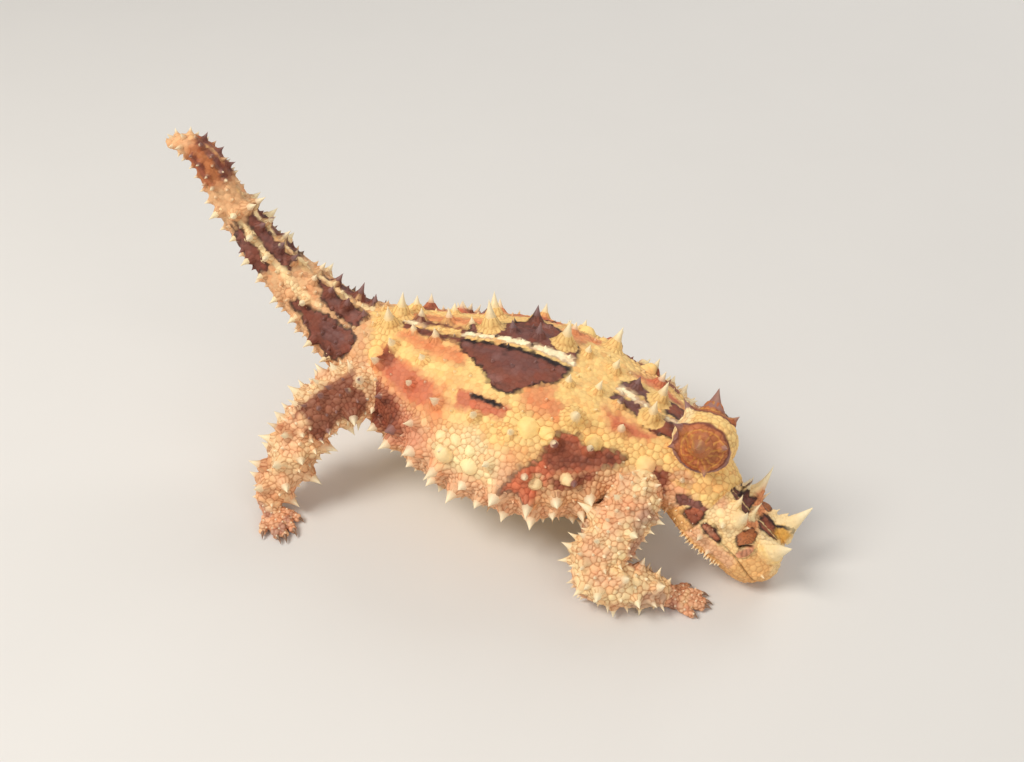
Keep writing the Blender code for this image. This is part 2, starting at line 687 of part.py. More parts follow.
def main():
    for old in list(bpy.data.objects):
        bpy.data.objects.remove(old)
    rng = random.Random(SEED)
    body = Tube(BODY, BODY_UP, HUMPS)
    head = Tube(HEAD, (0, 0, 1), HEAD_RELIEF, HEAD_SQUARE, head_frame())
    limbs = {name: Tube(LIMBS[name], LIMB_UPS[name]) for name in LIMBS}
    roots = [(limb, 3.0, limb.length) for limb in limbs.values()]
    tail_end, tail_middle, tail_root = (body.at(x) for x in TAIL_CUTS)
    neck_start = body.at(NECK_CUT)
    half = GAP / 2

    def trunk(grow=0.0):
        return body.mesh(tail_root + half, neck_start - half, 22, 26, grow)

    def tail_base(grow=0.0):
        return body.mesh(tail_middle + half, tail_root - half, 7, 12, grow)

    def neck(grow=0.0):
        return body.mesh(neck_start + half, body.length, 7, 18, grow)

    def skull(grow=0.0):
        return head.mesh(0.0, head.length, 18, 20, grow)

    room = Keepout(roots)
    thorns = thorns_on(body, TRUNK_ROWS, (tail_root + half, neck_start - half), room, rng)
    make_node("trunk", trunk(), "skin_cream", thorns)
    for name, start, end, rows, made in (
        ("tail_base", tail_middle + half, tail_root - half, TAIL_ROWS, tail_base()),
        ("tail_middle", tail_end + half, tail_middle - half, TAIL_ROWS, None),
        ("tail_tip", 0.0, tail_end - half, TIP_ROWS, None),
    ):
        made = made or body.mesh(start, end, 7, 11)
        make_node(name, made, "skin_cream", thorns_on(body, rows, (start, end), room, rng))

    head_room = Keepout([*roots, (head, 1.0, head.length)])
    thorns = thorns_on(body, NECK_ROWS, (neck_start, body.length - 4), head_room, rng)
    make_node("neck", neck(), "skin_cream", thorns, [skull(GAP)])
    knob(head, [neck(GAP), skull(GAP)], rng)
    make_node("head", skull(), "skin_cream", head_pieces(head, rng), head_cuts(head))
    for side, name in ((-1, "right_eye"), (1, "left_eye")):
        make_node(name, ball(eye_centre(head, side), [EYE_RADIUS] * 3, rings=6, sides=10), "eye")
        horn(head, side, [skull(GAP)])

    for side in ("right", "left"):
        arm = [f"{side}_{name}" for name in ("upper_arm", "forearm", "hand")]
        leg = [f"{side}_{name}" for name in ("thigh", "shin", "foot")]
        limb_nodes(arm, limbs, [trunk(GAP), neck(GAP)], rng)
        limb_nodes(leg, limbs, [trunk(GAP), tail_base(GAP)], rng)


main()
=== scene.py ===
"""Thorny devil: skin, scales, spines, horns, eyes and claws of a still, life-size model."""

import itertools
import math
import random

import bmesh
import bpy
import numpy as np
from bpy.props import FloatProperty, FloatVectorProperty, PointerProperty
from mathutils import Matrix, Vector
from mathutils.kdtree import KDTree


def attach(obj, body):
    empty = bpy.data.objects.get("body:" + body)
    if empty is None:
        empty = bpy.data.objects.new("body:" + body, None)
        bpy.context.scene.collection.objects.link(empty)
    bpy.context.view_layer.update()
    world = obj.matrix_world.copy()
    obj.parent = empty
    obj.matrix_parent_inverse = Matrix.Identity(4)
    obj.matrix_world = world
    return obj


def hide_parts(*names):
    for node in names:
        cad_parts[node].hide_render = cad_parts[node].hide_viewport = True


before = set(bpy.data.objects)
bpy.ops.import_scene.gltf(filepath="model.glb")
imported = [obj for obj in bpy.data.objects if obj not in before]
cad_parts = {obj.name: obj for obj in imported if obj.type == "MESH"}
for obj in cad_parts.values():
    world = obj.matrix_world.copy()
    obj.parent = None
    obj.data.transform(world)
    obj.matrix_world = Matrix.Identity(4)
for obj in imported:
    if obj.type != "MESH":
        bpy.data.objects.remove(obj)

bl_info = {
    "name": "Thorny Devil",
    "version": (1, 0, 0),
    "blender": (4, 5, 0),
    "location": "3D View > Sidebar > Thorny Devil",
    "description": "Skin, spines, horns, eyes and claws of a life-size thorny devil",
    "category": "Object",
}

# Shapes are worked out in millimetres, in the frame of these tables; SHIFT takes them to the model's frame
MM = 0.001
SHIFT = np.array((-8.31, 1.15, 0.0))
SEED = 7
FLOOR_GAP = 0.02  # least height of skin, spines and claws over the floor
SIDES = ((-1, "right"), (1, "left"))

# The body from the tail's tip to the back of the head: centre, then half width, height above, depth below
BODY = [
    (-71.6, 0.0, 60.6, 1.0, 0.9, 0.9),
    (-67.6, 0.0, 61.2, 2.1, 1.9, 1.8),
    (-64.2, 0.0, 59.2, 2.7, 2.5, 2.5),
    (-62.0, 0.0, 54.8, 3.0, 2.8, 2.8),
    (-58.4, 0.0, 48.2, 3.3, 3.1, 3.1),
    (-54.6, 0.0, 42.9, 3.8, 3.6, 3.5),
    (-49.8, 0.0, 37.6, 4.6, 4.3, 4.1),
    (-44.6, 0.0, 32.8, 5.6, 5.3, 5.0),
    (-39.0, 0.0, 28.2, 6.9, 6.7, 6.0),
    (-32.5, 0.0, 24.4, 9.4, 9.3, 7.4),
    (-25.0, 0.0, 21.2, 13.6, 11.7, 8.6),
    (-15.0, 0.0, 18.4, 18.6, 14.5, 9.4),
    (-4.0, 0.0, 16.8, 21.4, 16.7, 9.4),
    (6.0, 0.0, 16.2, 21.8, 16.0, 9.2),
    (15.0, -0.2, 16.2, 19.2, 13.0, 8.5),
    (23.0, -1.0, 16.6, 14.4, 10.8, 7.8),
    (29.5, -2.4, 16.9, 10.0, 8.6, 7.0),
    (34.5, -4.2, 16.2, 7.8, 7.0, 6.4),
    (39.6, -6.2, 14.8, 5.6, 4.8, 5.4),
]
BODY_UP = (0.35, 0.0, 1.0)
BODY_SQUARE = (2.05, 2.45)  # how square the section is, above and below
HUMPS = [  # x of the place, angle from the top, spread along, spread round in degrees, height
    (13.5, 24, 5.0, 15, 1.5),
    (-9.0, 62, 7.0, 20, 0.8),
    (5.0, 70, 6.0, 18, 0.9),
    (-27.0, 60, 6.0, 24, 0.7),
    (22.5, 66, 5.0, 22, 1.2),
]

# The head in its own frame: along to the snout, left, up from its axis
HEAD_AT = (36.9, -5.6, 16.0)
HEAD_TURN = 7.5  # degrees to the animal's right
HEAD_BOW = 33.0  # degrees below level
HEAD_ROLL = -4.5  # degrees, left side up
HEAD = [  # along, 0, height of the axis, half width, height above, depth below
    (-3.8, 0.0, -1.6, 3.8, 3.0, 3.6),
    (-2.6, 0.0, -1.8, 5.6, 4.2, 5.4),
    (0.0, 0.0, -2.4, 6.8, 5.9, 5.4),
    (3.6, 0.0, -2.8, 7.2, 6.7, 5.0),
    (7.0, 0.0, -2.9, 7.1, 6.7, 5.0),
    (10.4, 0.0, -2.9, 6.8, 6.6, 5.2),
    (13.2, 0.0, -3.2, 6.4, 6.4, 5.3),
    (15.6, 0.0, -3.6, 5.8, 5.6, 4.7),
    (17.2, 0.0, -3.9, 4.8, 4.0, 3.8),
    (18.2, 0.0, -4.2, 3.2, 2.4, 2.4),
]
HEAD_SQUARE = (1.6, 3.0)
HEAD_RELIEF = [  # along, angle, spread along, spread round, height
    (6.4, 38, 2.8, 14, 1.0),
    (13.0, 36, 2.8, 14, 1.0),
    (4.0, 105, 3.6, 16, 0.6),
    (9.5, 0, 7.0, 15, -1.2),
    (12.5, 94, 4.0, 12, 0.35),
]
EYE_ALONG, EYE_ANGLE = 10.3, 53.0
EYE_RADIUS = 1.6
EYE_SUNK = 0.7  # depth of the eye's middle under the skin, as a share of its radius
EYE_SLANT = 50.0  # degrees that the slit between the lids rises forwards from the head's axis
LID_RADIUS = 2.5
MOUTH_ANGLE = 74.0  # at its corners
MOUTH_FRONT = 96.0  # at the end of the snout
MOUTH_CORNER = 6.3
NOSTRIL = (16.0, 42.0)
EAR = (4.6, 68.0)
BROW_HORN = (13.9, 34, 6.4, 2.4)  # along, angle, length, radius
BROW_HORN_WAY = (0.2, 0.4, 0.86)
BROW_HORN_CURL = (-0.4, 0.2, 0.2)

KNOB_AT = np.array((35.1, -5.2, 26.4))
KNOB_RADII = np.array((5.7, 5.4, 5.4))
KNOB_TURN = 2.0  # degrees to the animal's left
KNOB_THORNS = [  # way of the left one: along, out, up, then length, radius
    (0.0, 0.84, 0.5, 4.7, 2.1),
    (-0.6, 0.42, 0.62, 2.8, 1.2),
    (-0.75, 0.62, 0.1, 1.9, 1.0),
    (0.62, 0.6, 0.42, 1.9, 1.0),
    (0.2, 0.8, -0.35, 1.7, 0.9),
]

# Limbs, each in two lengths that meet at the elbow or knee: x, y, z, radius
LIMBS = {
    "right_upper_arm": [
        (24.6, -8.0, 18.0, 4.2),
        (25.1, -13.0, 16.6, 4.6),
        (24.2, -18.0, 13.4, 4.5),
        (22.4, -21.5, 10.0, 4.2),
        (21.1, -23.4, 7.4, 3.8),
        (20.6, -24.1, 5.8, 2.6),
    ],
    "right_forearm": [
        (19.8, -23.6, 7.0, 2.6),
        (21.4, -24.2, 6.4, 3.8),
        (24.3, -24.1, 5.7, 4.1),
        (28.1, -23.0, 4.8, 3.6),
        (31.6, -21.6, 3.7, 2.9),
        (34.0, -20.5, 2.8, 2.3),
    ],
    "left_upper_arm": [
        (22.6, 8.0, 17.0, 4.2),
        (22.2, 13.4, 15.4, 4.6),
        (20.2, 18.6, 12.2, 4.5),
        (17.7, 22.4, 9.2, 4.2),
        (16.2, 24.6, 6.8, 3.8),
        (15.6, 25.4, 5.2, 2.6),
    ],
    "left_forearm": [
        (14.8, 25.2, 5.8, 2.6),
        (16.0, 26.2, 5.4, 3.7),
        (18.2, 27.6, 4.7, 3.8),
        (20.6, 28.8, 3.9, 3.2),
        (22.6, 29.8, 3.2, 2.6),
        (24.0, 30.4, 2.6, 2.2),
    ],
    "right_thigh": [
        (-24.0, -5.0, 23.4, 4.8),
        (-29.0, -9.6, 22.9, 5.2),
        (-34.0, -13.4, 21.0, 4.8),
        (-37.0, -16.0, 18.2, 4.4),
        (-38.4, -17.6, 15.8, 3.8),
        (-38.8, -18.2, 14.4, 2.6),
    ],
    "right_shin": [
        (-38.0, -16.4, 18.2, 2.8),
        (-38.6, -17.8, 15.6, 4.2),
        (-39.6, -20.0, 12.0, 4.1),
        (-41.2, -22.8, 8.0, 3.5),
        (-42.6, -25.0, 5.0, 2.9),
        (-43.2, -26.2, 3.2, 2.4),
    ],
    "left_thigh": [
        (-24.6, 5.0, 23.0, 4.8),
        (-22.2, 11.6, 21.8, 5.2),
        (-18.6, 17.0, 18.9, 4.8),
        (-16.6, 20.6, 15.6, 4.4),
        (-16.2, 22.2, 13.2, 3.8),
        (-16.2, 22.8, 11.8, 2.6),
    ],
    "left_shin": [
        (-16.2, 20.8, 15.4, 2.8),
        (-16.6, 22.4, 13.2, 4.1),
        (-18.0, 24.8, 10.0, 3.9),
        (-19.8, 27.0, 6.8, 3.3),
        (-21.2, 28.6, 4.2, 2.8),
        (-21.8, 29.4, 3.0, 2.4),
    ],
}
LIMB_UPS = {
    "right_upper_arm": (-0.8, -0.4, 0.4),
    "right_forearm": (-0.2, -0.3, 0.9),
    "left_upper_arm": (-0.8, 0.4, 0.4),
    "left_forearm": (-0.2, 0.3, 0.9),
    "right_thigh": (-0.3, -0.3, 0.9),
    "right_shin": (-0.6, -0.6, 0.1),
    "left_thigh": (-0.3, 0.3, 0.9),
    "left_shin": (0.6, 0.6, 0.3),
}
# Paws: the limb that ends in it, the way it points in degrees from +X, palm length, digit length
PAWS = {
    "right_hand": ("right_forearm", 22.0, 3.6, 4.6),
    "left_hand": ("left_forearm", 18.0, 3.6, 4.6),
    "right_foot": ("right_shin", -38.0, 4.0, 5.2),
    "left_foot": ("left_shin", 28.0, 4.0, 5.2),
}
PALM_RADII = [2.1, 1.85, 1.2]  # at the wrist, in the middle and in front
DIGITS = [  # degrees from the paw's way, share of the digit length, bend as a share of its own length
    (-58, 0.72, 0.22),
    (-27, 0.92, 0.22),
    (0, 1.0, 0.066),
    (27, 0.94, -0.22),
    (56, 0.74, -0.22),
]
DIGIT_LINE = ((0.36, 1.42), (0.7, 1.2), (1.0, 0.86))  # share of the length and height over the floor
DIGIT_RADII = [1.12, 0.98, 0.86, 0.7]  # at the root and at the places of the line

# Rows of spines: angle from the back's middle, first x, last x, spacing, length, radius, pattern of sizes
TRUNK_ROWS = [
    (11, -31, 25, 5.2, 3.5, 1.35, (1.25, 0.75, 0.9, 0.7, 1.3, 0.8, 0.95)),
    (30, -29, 22, 8.6, 3.1, 1.35, (1.0, 0.8, 1.25)),
    (50, -28, 19, 8.4, 2.7, 1.5, (1.1, 0.85, 1.3)),
    (70, -24, 16, 7.6, 2.9, 1.45, (0.9, 1.25, 1.0)),
    (87, -26, 20, 5.6, 3.1, 1.3, (1.2, 0.8, 1.0)),
    (101, -24, 18, 4.6, 2.7, 1.05, (1.0, 1.2, 0.75)),
    (117, -20, 16, 6.0, 1.6, 0.8, (1.0, 0.8)),
]
TAIL_ROWS = [
    (16, -66, -36, 4.6, 2.9, 1.0, (1.1, 0.75, 0.95)),
    (62, -64, -37, 5.4, 2.5, 1.0, (0.9, 1.15)),
    (104, -64, -37, 4.8, 2.6, 0.95, (1.0, 0.8)),
    (146, -63, -39, 5.6, 1.9, 0.85, (1.0, 0.8)),
]
TIP_ROWS = [
    (28, -70, -62, 2.3, 1.7, 0.62, (1.0, 0.8)),
    (80, -70, -62, 2.3, 1.6, 0.6, (0.9, 1.1)),
    (132, -69, -62, 2.4, 1.3, 0.55, (1.0,)),
]
NECK_ROWS = [
    (58, 29, 34, 4.4, 1.9, 1.0, (1.0, 1.2)),
    (84, 29, 35, 3.2, 1.9, 0.85, (1.1, 0.8)),
    (112, 29, 34, 3.0, 1.4, 0.7, (1.0, 0.8)),
]
TAIL_CUTS = (-61.5, -49.5, -34.0)  # x of the joints in the tail
NECK_CUT = 27.5
LIMB_ANGLES = (-165, -115, -62, -14, 38, 92, 146)
# Patches without large spines: x from and to, angle from and to
BARE = [(-17, 8.5, -34, -5.5), (-44.5, -34.5, -98, -45), (-44.5, -34.5, 45, 98)]
# Spines of the head on both sides: along, angle, length, radius, lean along, out, up of the tip
HEAD_THORNS = [
    (6.6, 36, 4.8, 1.9, -1.5, 0.9, 1.0),
    (8.3, 38, 2.4, 0.7, 0.0, 0.2, 0.4),
    (4.6, 23, 2.8, 1.1, -0.8, 0.3, 0.6),
    (8.2, 11, 2.4, 0.8, -0.4, 0.0, 0.8),
    (5.0, 52, 2.2, 1.2, 0.1, 0.4, 0.2),
    (3.9, 90, 2.0, 1.1, -0.2, 0.4, 0.0),
    (6.8, 97, 1.6, 0.9, -0.2, 0.3, 0.0),
    (16.5, 66, 1.0, 0.55, 0.2, 0.2, 0.3),
]
JAW_FRINGE = (120, 2.4, 9.4, 1.4, 1.2, 0.55)  # angle, first, last, spacing, length, radius

# Round domes without a point, on both sides of the body: x, angle, radius, height
DOMES = [
    (5.4, 44, 2.15, 1.3),
    (9.3, 43, 1.35, 0.8),
    (1.6, 49, 0.8, 0.5),
    (-8.6, 75, 1.9, 1.5),
    (-3.4, 76, 1.75, 1.4),
    (-3.9, 67, 1.1, 0.85),
    (-7.2, 64, 1.15, 0.85),
    (-10.4, 66, 1.2, 0.9),
    (-1.2, 68, 0.85, 0.6),
    (9.6, 74, 1.25, 1.2),
    (15.4, 70, 1.2, 1.1),
    (18.6, 43, 1.7, 1.1),
    (28.5, 60, 1.9, 1.3),
    (24.9, 53, 0.85, 0.45),
    (31.0, 44, 1.0, 0.5),
    (34.6, 46, 0.9, 0.45),
    (33.2, 32, 0.8, 0.4),
    (-30.4, 47, 1.6, 0.6),
    (-47.5, 75, 1.0, 0.5),
]
HEAD_DOMES = [(3.2, 44, 0.9, 0.45), (1.4, 30, 0.7, 0.3), (7.4, 57, 0.5, 0.25)]

# Zones of scales on both sides: region, x from and to, angle from and to, radius, height as a share of it
SCALE_ZONES = [
    ("body", -80, 45, 0, 180, 0.4, 0.16),
    ("body", -6, 45, 34, 62, 0.44, 0.28),
    ("body", 30, 45, 0, 180, 0.46, 0.32),
    ("body", -34, 30, 60, 84, 0.46, 0.34),
    ("body", -34, 26, 84, 118, 0.44, 0.46),
    ("body", -40, 40, 118, 180, 0.62, 0.24),
    ("body", -32, -17, 62, 104, 0.36, 0.5),
    ("body", 8, 25, 66, 98, 0.36, 0.52),
    ("body", 29.5, 33.5, 57, 100, 0.35, 0.5),
    ("head", -4, 20, 0, 180, 0.38, 0.22),
    ("head", 10.5, 20, 40, 180, 0.36, 0.2),
    ("head", -4, 9, 80, 180, 0.38, 0.34),
    ("knob", -99, 99, 0, 180, 0.42, 0.24),
]
USUAL_DOME = 0.42  # height of a usual scale as a share of its radius

PALETTE = {  # as seen, before conversion to light
    "cream": (0.965, 0.86, 0.65),
    "white": (0.99, 0.94, 0.78),
    "yellow": (0.955, 0.80, 0.51),
    "gold": (0.88, 0.66, 0.30),
    "tan": (0.88, 0.69, 0.50),
    "peach": (0.92, 0.73, 0.56),
    "pink": (0.86, 0.60, 0.46),
    "honey": (0.93, 0.73, 0.47),
    "orange": (0.88, 0.58, 0.38),
    "rust": (0.80, 0.46, 0.32),
    "russet": (0.57, 0.31, 0.21),
    "brown": (0.50, 0.28, 0.215),
    "purple": (0.45, 0.28, 0.25),
    "lilac": (0.60, 0.45, 0.43),
    "black": (0.13, 0.07, 0.06),
    "bark": (0.69, 0.42, 0.24),
}

# Markings of the body: colour, side, width of the dark rim, softness of the edge, corners as x and angle.
# Side "both" is drawn for the right, where angles are below 0, and mirrored; "left" is on that side alone,
# and "whole" crosses the back.
BODY_MARKS = [
    ("tan", "both", 0, 2.0, [
        (-80, -80), (-80, -180), (45, -180), (45, -100), (20, -98), (-20, -96), (-34, -80)]),
    ("cream", "both", 0, 2.0, [(-30, -132), (-30, -180), (45, -180), (45, -128)]),
    ("tan", "both", 0, 1.0, [(-73, 0), (-73, -180), (-34, -180), (-31, -60), (-36, 0)]),
    ("orange", "both", 0, 1.2, [(-30, -10), (-13, -10), (-12, -22), (-20, -23), (-29, -20)]),
    ("orange", "both", 0, 1.6, [(2, -22), (8, -16), (13, -24), (13, -34), (6, -36), (2, -32)]),
    ("rust", "both", 0, 1.2, [(17.5, -18), (23, -22), (28, -27), (27, -36), (21, -34)]),
    ("orange", "both", 0, 1.5, [(-30, -38), (-14, -38), (-11, -46), (-12, -60), (-24, -64), (-30, -58)]),
    ("rust", "both", 0, 1.0, [(-29, -38), (-17, -40), (-15, -50), (-18, -58), (-28, -56)]),
    ("russet", "both", 0, 0.6, [(-29.5, -36), (-26, -37), (-26, -48), (-29, -50)]),
    ("rust", "both", 0, 0.9, [(-11, -36), (1, -37), (0, -45), (-10, -47)]),
    ("black", "both", 0, 0.3, [(-7.5, -36.5), (-1.2, -36.8), (-1.0, -39.5), (-4, -38.6), (-7.5, -39)]),
    ("pink", "both", 0, 1.5, [(-31, -62), (-16, -64), (-13, -80), (-18, -98), (-32, -98)]),
    ("russet", "both", 0, 1.2, [(-31, -64), (-21, -66), (-18, -82), (-22, -100), (-31, -98)]),
    ("cream", "both", 0, 1.2, [(-11, -62), (-4, -54), (2, -64), (2, -82), (-8, -84), (-12, -76)]),
    ("peach", "both", 0, 1.6, [(-14, -84), (4, -86), (10, -98), (18, -98), (14, -112), (-16, -112)]),
    ("rust", "both", 0.5, 0.8, [
        (3.4, -82), (6, -66), (9, -58), (11, -41), (13, -38), (15.5, -39), (17, -45), (20, -47.5),
        (23.4, -48),
        (25.6, -55), (25.2, -61), (22, -63), (20.5, -70), (18, -84), (10, -87)]),
    ("russet", "both", 0, 0.9, [
        (9.4, -56), (12, -42), (15, -41), (17, -48), (23.5, -50), (24.6, -58), (19, -64), (12, -64)]),
    ("tan", "both", 0, 1.0, [(13, -66), (23, -64), (23, -92), (8, -92)]),
    ("russet", "both", 0, 1.0, [(12, -70), (21, -64), (21, -72), (14, -80)]),
    ("cream", "both", 0, 0.5, [(8.6, -68), (10.2, -68), (10.8, -77), (8.8, -78)]),
    ("cream", "both", 0, 0.4, [(14.8, -66), (16.2, -66), (16.4, -73), (14.8, -73)]),
    ("brown", "both", 0.5, 0.35, [
        (-16.5, -2), (-16, -9), (-14.5, -13), (-11, -17), (-8, -22), (-4.5, -30), (-1, -31.5), (1, -28),
        (3, -22),
        (5.2, -18.5), (7.5, -14.5), (8.4, -7), (8.2, -2)]),
    ("purple", "both", 0, 1.2, [(-14, -7), (-8, -13), (-3, -19), (1, -18), (4, -10), (3, -6), (-8, -5)]),
    ("black", "both", 0, 0.35, [
        (-31, -2.2), (-16, -2.4), (8, -2), (8, -4.4), (-5, -4.6), (-16, -5.2), (-31, -5.5)]),
    ("brown", "both", 0, 0.5, [(-31, -2.5), (-16, -2.5), (-16, -7), (-23, -9.5), (-28, -8.5), (-31, -5)]),
    ("yellow", "whole", 0, 0.8, [
        (7.6, -24), (8.6, -8), (9.5, 0), (8.4, 8), (7.6, 24), (16.4, 26), (17, 8), (17.6, 0), (17, -8),
        (16.4, -26)]),
    ("purple", "both", 0.35, 0.4, [(17.6, -3), (17.4, -8), (20, -13), (24, -15), (24, -3)]),
    ("brown", "both", 0.5, 0.35, [
        (23.4, -3), (23.6, -14), (25, -22), (27.5, -25), (30.5, -24), (31.2, -12), (30.6, -3)]),
    ("russet", "both", 0, 0.8, [(26, -9), (28.5, -10), (29.4, -18), (27.4, -21), (25.6, -16)]),
    ("white", "whole", 0.3, 0.25, [(-33, 0), (-33, 5), (-30.4, 4.4), (-25.4, 5), (-25, 0.3), (-28, -0.6)]),
    ("yellow", "whole", 0.3, 0.25, [(-24.6, -1), (-24.4, 5), (-20, 5.6), (-17.4, 6), (-17, 0), (-19.5, -2)]),
    ("white", "whole", 0.3, 0.22, [
        (-16.6, -0.2), (-16.4, 4.2), (-12, 4.6), (-9.6, 4.4), (-9.4, 0.4), (-13, -0.4)]),
    ("white", "whole", 0.3, 0.22, [(-9.0, 0), (-8.8, 4.4), (-4, 4.8), (-1.6, 4.4), (-1.3, 0.2), (-5, -0.6)]),
    ("white", "whole", 0.3, 0.22, [(-1.0, 0), (-0.8, 4.4), (3, 5.2), (7.8, 6), (8.6, 0), (4, -1)]),
    ("white", "whole", 0.35, 0.25, [(17.4, -1), (17.2, 5), (20.4, 5.6), (21.6, 2), (21.2, -3), (19, -2)]),
    ("white", "whole", 0.35, 0.22, [(21.8, -3.6), (22, 1), (24, 0.5), (26.4, 0), (26.5, -6), (24.6, -6.6)]),
    ("white", "whole", 0.35, 0.22, [(26.9, -5.6), (27, 0.6), (29.6, 3), (30.4, 0), (29.6, -5)]),
    ("yellow", "both", 0.0, 0.7, [(30.6, -64), (31, -30), (31.4, -2), (40, -2), (40, -70), (35, -70)]),
    # Russet: a painted shadow between the neck and the shoulder
    ("russet", "both", 0, 0.6, [(29.6, -95), (30, -60), (31.4, -57), (33, -62), (33.2, -95)]),
    ("tan", "both", 0, 0.7, [(32.6, -63), (33, -45), (35.6, -47), (35.4, -62)]),
    ("brown", "both", 0.35, 0.4, [(34.8, -76), (36, -73), (40, -75), (40, -98), (35, -98)]),
    ("brown", "both", 0.4, 0.35, [
        (-58.4, -4), (-58, -45), (-54, -46), (-50.6, -41), (-49, -32), (-50.4, -24), (-50, -8), (-51.8, -7),
        (-53, -12), (-54, -6), (-56, -3)]),
    ("brown", "both", 0.4, 0.35, [
        (-46.6, -2), (-46.4, -12), (-45, -18), (-44, -36), (-40, -39), (-36.4, -36), (-35.6, -18), (-36, -5),
        (-39.6, -3), (-41, -10), (-42.4, -4)]),
    ("brown", "both", 0.4, 0.35, [
        (-58, -66), (-52, -64), (-51.4, -80), (-52, -98), (-51.4, -128), (-57.4, -130), (-57, -104),
        (-58.6, -98),
        (-57.8, -84), (-59, -78)]),
    ("brown", "both", 0.4, 0.35, [
        (-46.2, -63), (-44.2, -60), (-42, -46), (-36.6, -41), (-34.8, -50), (-34.6, -78), (-36, -98),
        (-40, -102),
        (-43.4, -96), (-44.2, -84), (-45.8, -98), (-46.6, -86)]),
    ("purple", "both", 0, 0.8, [(-42, -58), (-38, -50), (-36.4, -60), (-37, -80), (-40, -84)]),
    ("purple", "both", 0, 0.8, [(-56.8, -14), (-52, -16), (-51.6, -34), (-55, -38)]),
    ("cream", "both", 0, 0.5, [(-58, -62), (-58, -48), (-49, -46), (-43, -44), (-43.6, -52), (-47, -62)]),
    ("bark", "both", 0, 1.0, [(-67, 0), (-67, -180), (-61.8, -180), (-61.8, 0)]),
    ("brown", "both", 0, 0.6, [(-66.5, -2), (-66.5, -34), (-64.4, -30), (-62, -38), (-61.8, -4)]),
    ("russet", "both", 0, 0.6, [(-66, -70), (-65.6, -110), (-63, -116), (-62.2, -74)]),
    ("tan", "both", 0, 0.7, [(-61.6, 0), (-61.6, -180), (-58.6, -180), (-58.6, 0)]),
    ("cream", "whole", 0.25, 0.25, [(-61, -4), (-61, 12), (-55, 14), (-54.4, 2), (-57, -2)]),
    ("cream", "whole", 0.25, 0.25, [(-53.8, 0), (-53.6, 14), (-48, 12), (-47.4, 0), (-50, -3)]),
    ("cream", "whole", 0.25, 0.25, [(-46.8, 0), (-46.8, 12), (-41, 11), (-40.4, 1), (-43, -2)]),
    ("cream", "whole", 0.25, 0.25, [(-39.8, -1), (-39.6, 9), (-35.6, 9), (-35.0, 0), (-37, -3)]),
]

# Markings of the head, in the same form
HEAD_MARKS = [
    ("honey", "both", 0, 1.0, [(-4, -82), (20, -82), (20, -180), (-4, -180)]),
    ("peach", "both", 0, 0.8, [(2, -80), (7, -82), (10.6, -79), (12, -84), (12, -100), (2, -104)]),
    ("honey", "both", 0, 0.9, [(11.5, -88), (17, -92), (20, -60), (16.4, -44), (12.6, -48), (12.3, -64)]),
    ("yellow", "both", 0, 0.8, [(12, -45), (16, -44), (16.6, -24), (12, -20)]),
    ("cream", "both", 0, 0.8, [(0.5, -60), (8, -62), (8.6, -44), (8, -28), (1, -26)]),
    ("peach", "both", 0, 0.8, [(0.6, -44), (3.4, -40), (3, -26), (0.8, -24)]),
    ("russet", "both", 0.35, 0.3, [(-1.4, -57), (1.2, -57), (2, -64), (1.9, -90), (-1.4, -92)]),
    ("russet", "both", 0.35, 0.28, [
        (2.2, -76), (2.6, -66), (4.4, -63), (6.2, -66), (7.2, -70), (7.3, -76), (5.4, -79), (3.4, -80)]),
    ("pink", "both", 0, 0.6, [(3, -73), (4.4, -68), (6, -71), (5, -76)]),
    ("orange", "both", 0, 0.7, [(6.5, -12), (10, -10), (10.4, -34), (8.6, -38), (6.6, -34)]),
    ("brown", "both", 0.4, 0.3, [
        (1.2, -2), (1.3, -6), (3.0, -12), (4.5, -18), (5.2, -22), (6.8, -25), (7.6, -28), (7.5, -18),
        (7.4, -2)]),
    ("purple", "both", 0, 0.5, [(2.2, -2), (5, -14), (6.8, -20), (6.9, -4)]),
    ("cream", "whole", 0.25, 0.25, [
        (7.5, -30), (8.4, -30), (9.4, -22), (9.3, -8), (9.6, 0), (9.3, 8), (7.6, 8), (7.7, 0), (7.6, -14)]),
    ("brown", "both", 0.4, 0.3, [
        (9.8, -2), (9.7, -15), (10.3, -25), (11.5, -22), (12.5, -19.5), (13.3, -14), (13.8, -6),
        (13.9, -2)]),
    ("russet", "both", 0, 0.5, [(10.4, -4), (10.4, -15), (12, -16), (13, -8), (13, -3)]),
    ("cream", "both", 0, 0.4, [
        (10.4, -26), (12.4, -22), (13.8, -16), (14.6, -4), (17, -3), (17, -25), (14, -38), (11, -38)]),
    ("gold", "left", 0, 0.6, [(12.6, 6), (15.4, 8), (15.6, 28), (13, 30)]),
    ("black", "left", 0, 0.22, [(9.7, 17), (12.2, 17), (15.6, 27), (15.2, 29), (12, 20), (9.7, 20)]),
    ("black", "whole", 0, 0.2, [
        (3.7, -1), (4.1, -1), (4.4, 10), (4, 20), (3.4, 38), (3.0, 38), (3.6, 20), (4.0, 10)]),
    ("bark", "both", 0.22, 0.25, [
        (8.4, -45), (8.6, -57), (9.3, -60), (10.1, -60), (10.3, -52), (11, -44), (10.8, -38), (10.5, -31.5),
        (9.8, -30), (9.2, -33), (8.8, -38)]),
    ("pink", "both", 0, 0.4, [
        (10.4, -72), (10.3, -61), (10.6, -52), (11.1, -45), (11.8, -50), (12.1, -62), (11.6, -72)]),
]

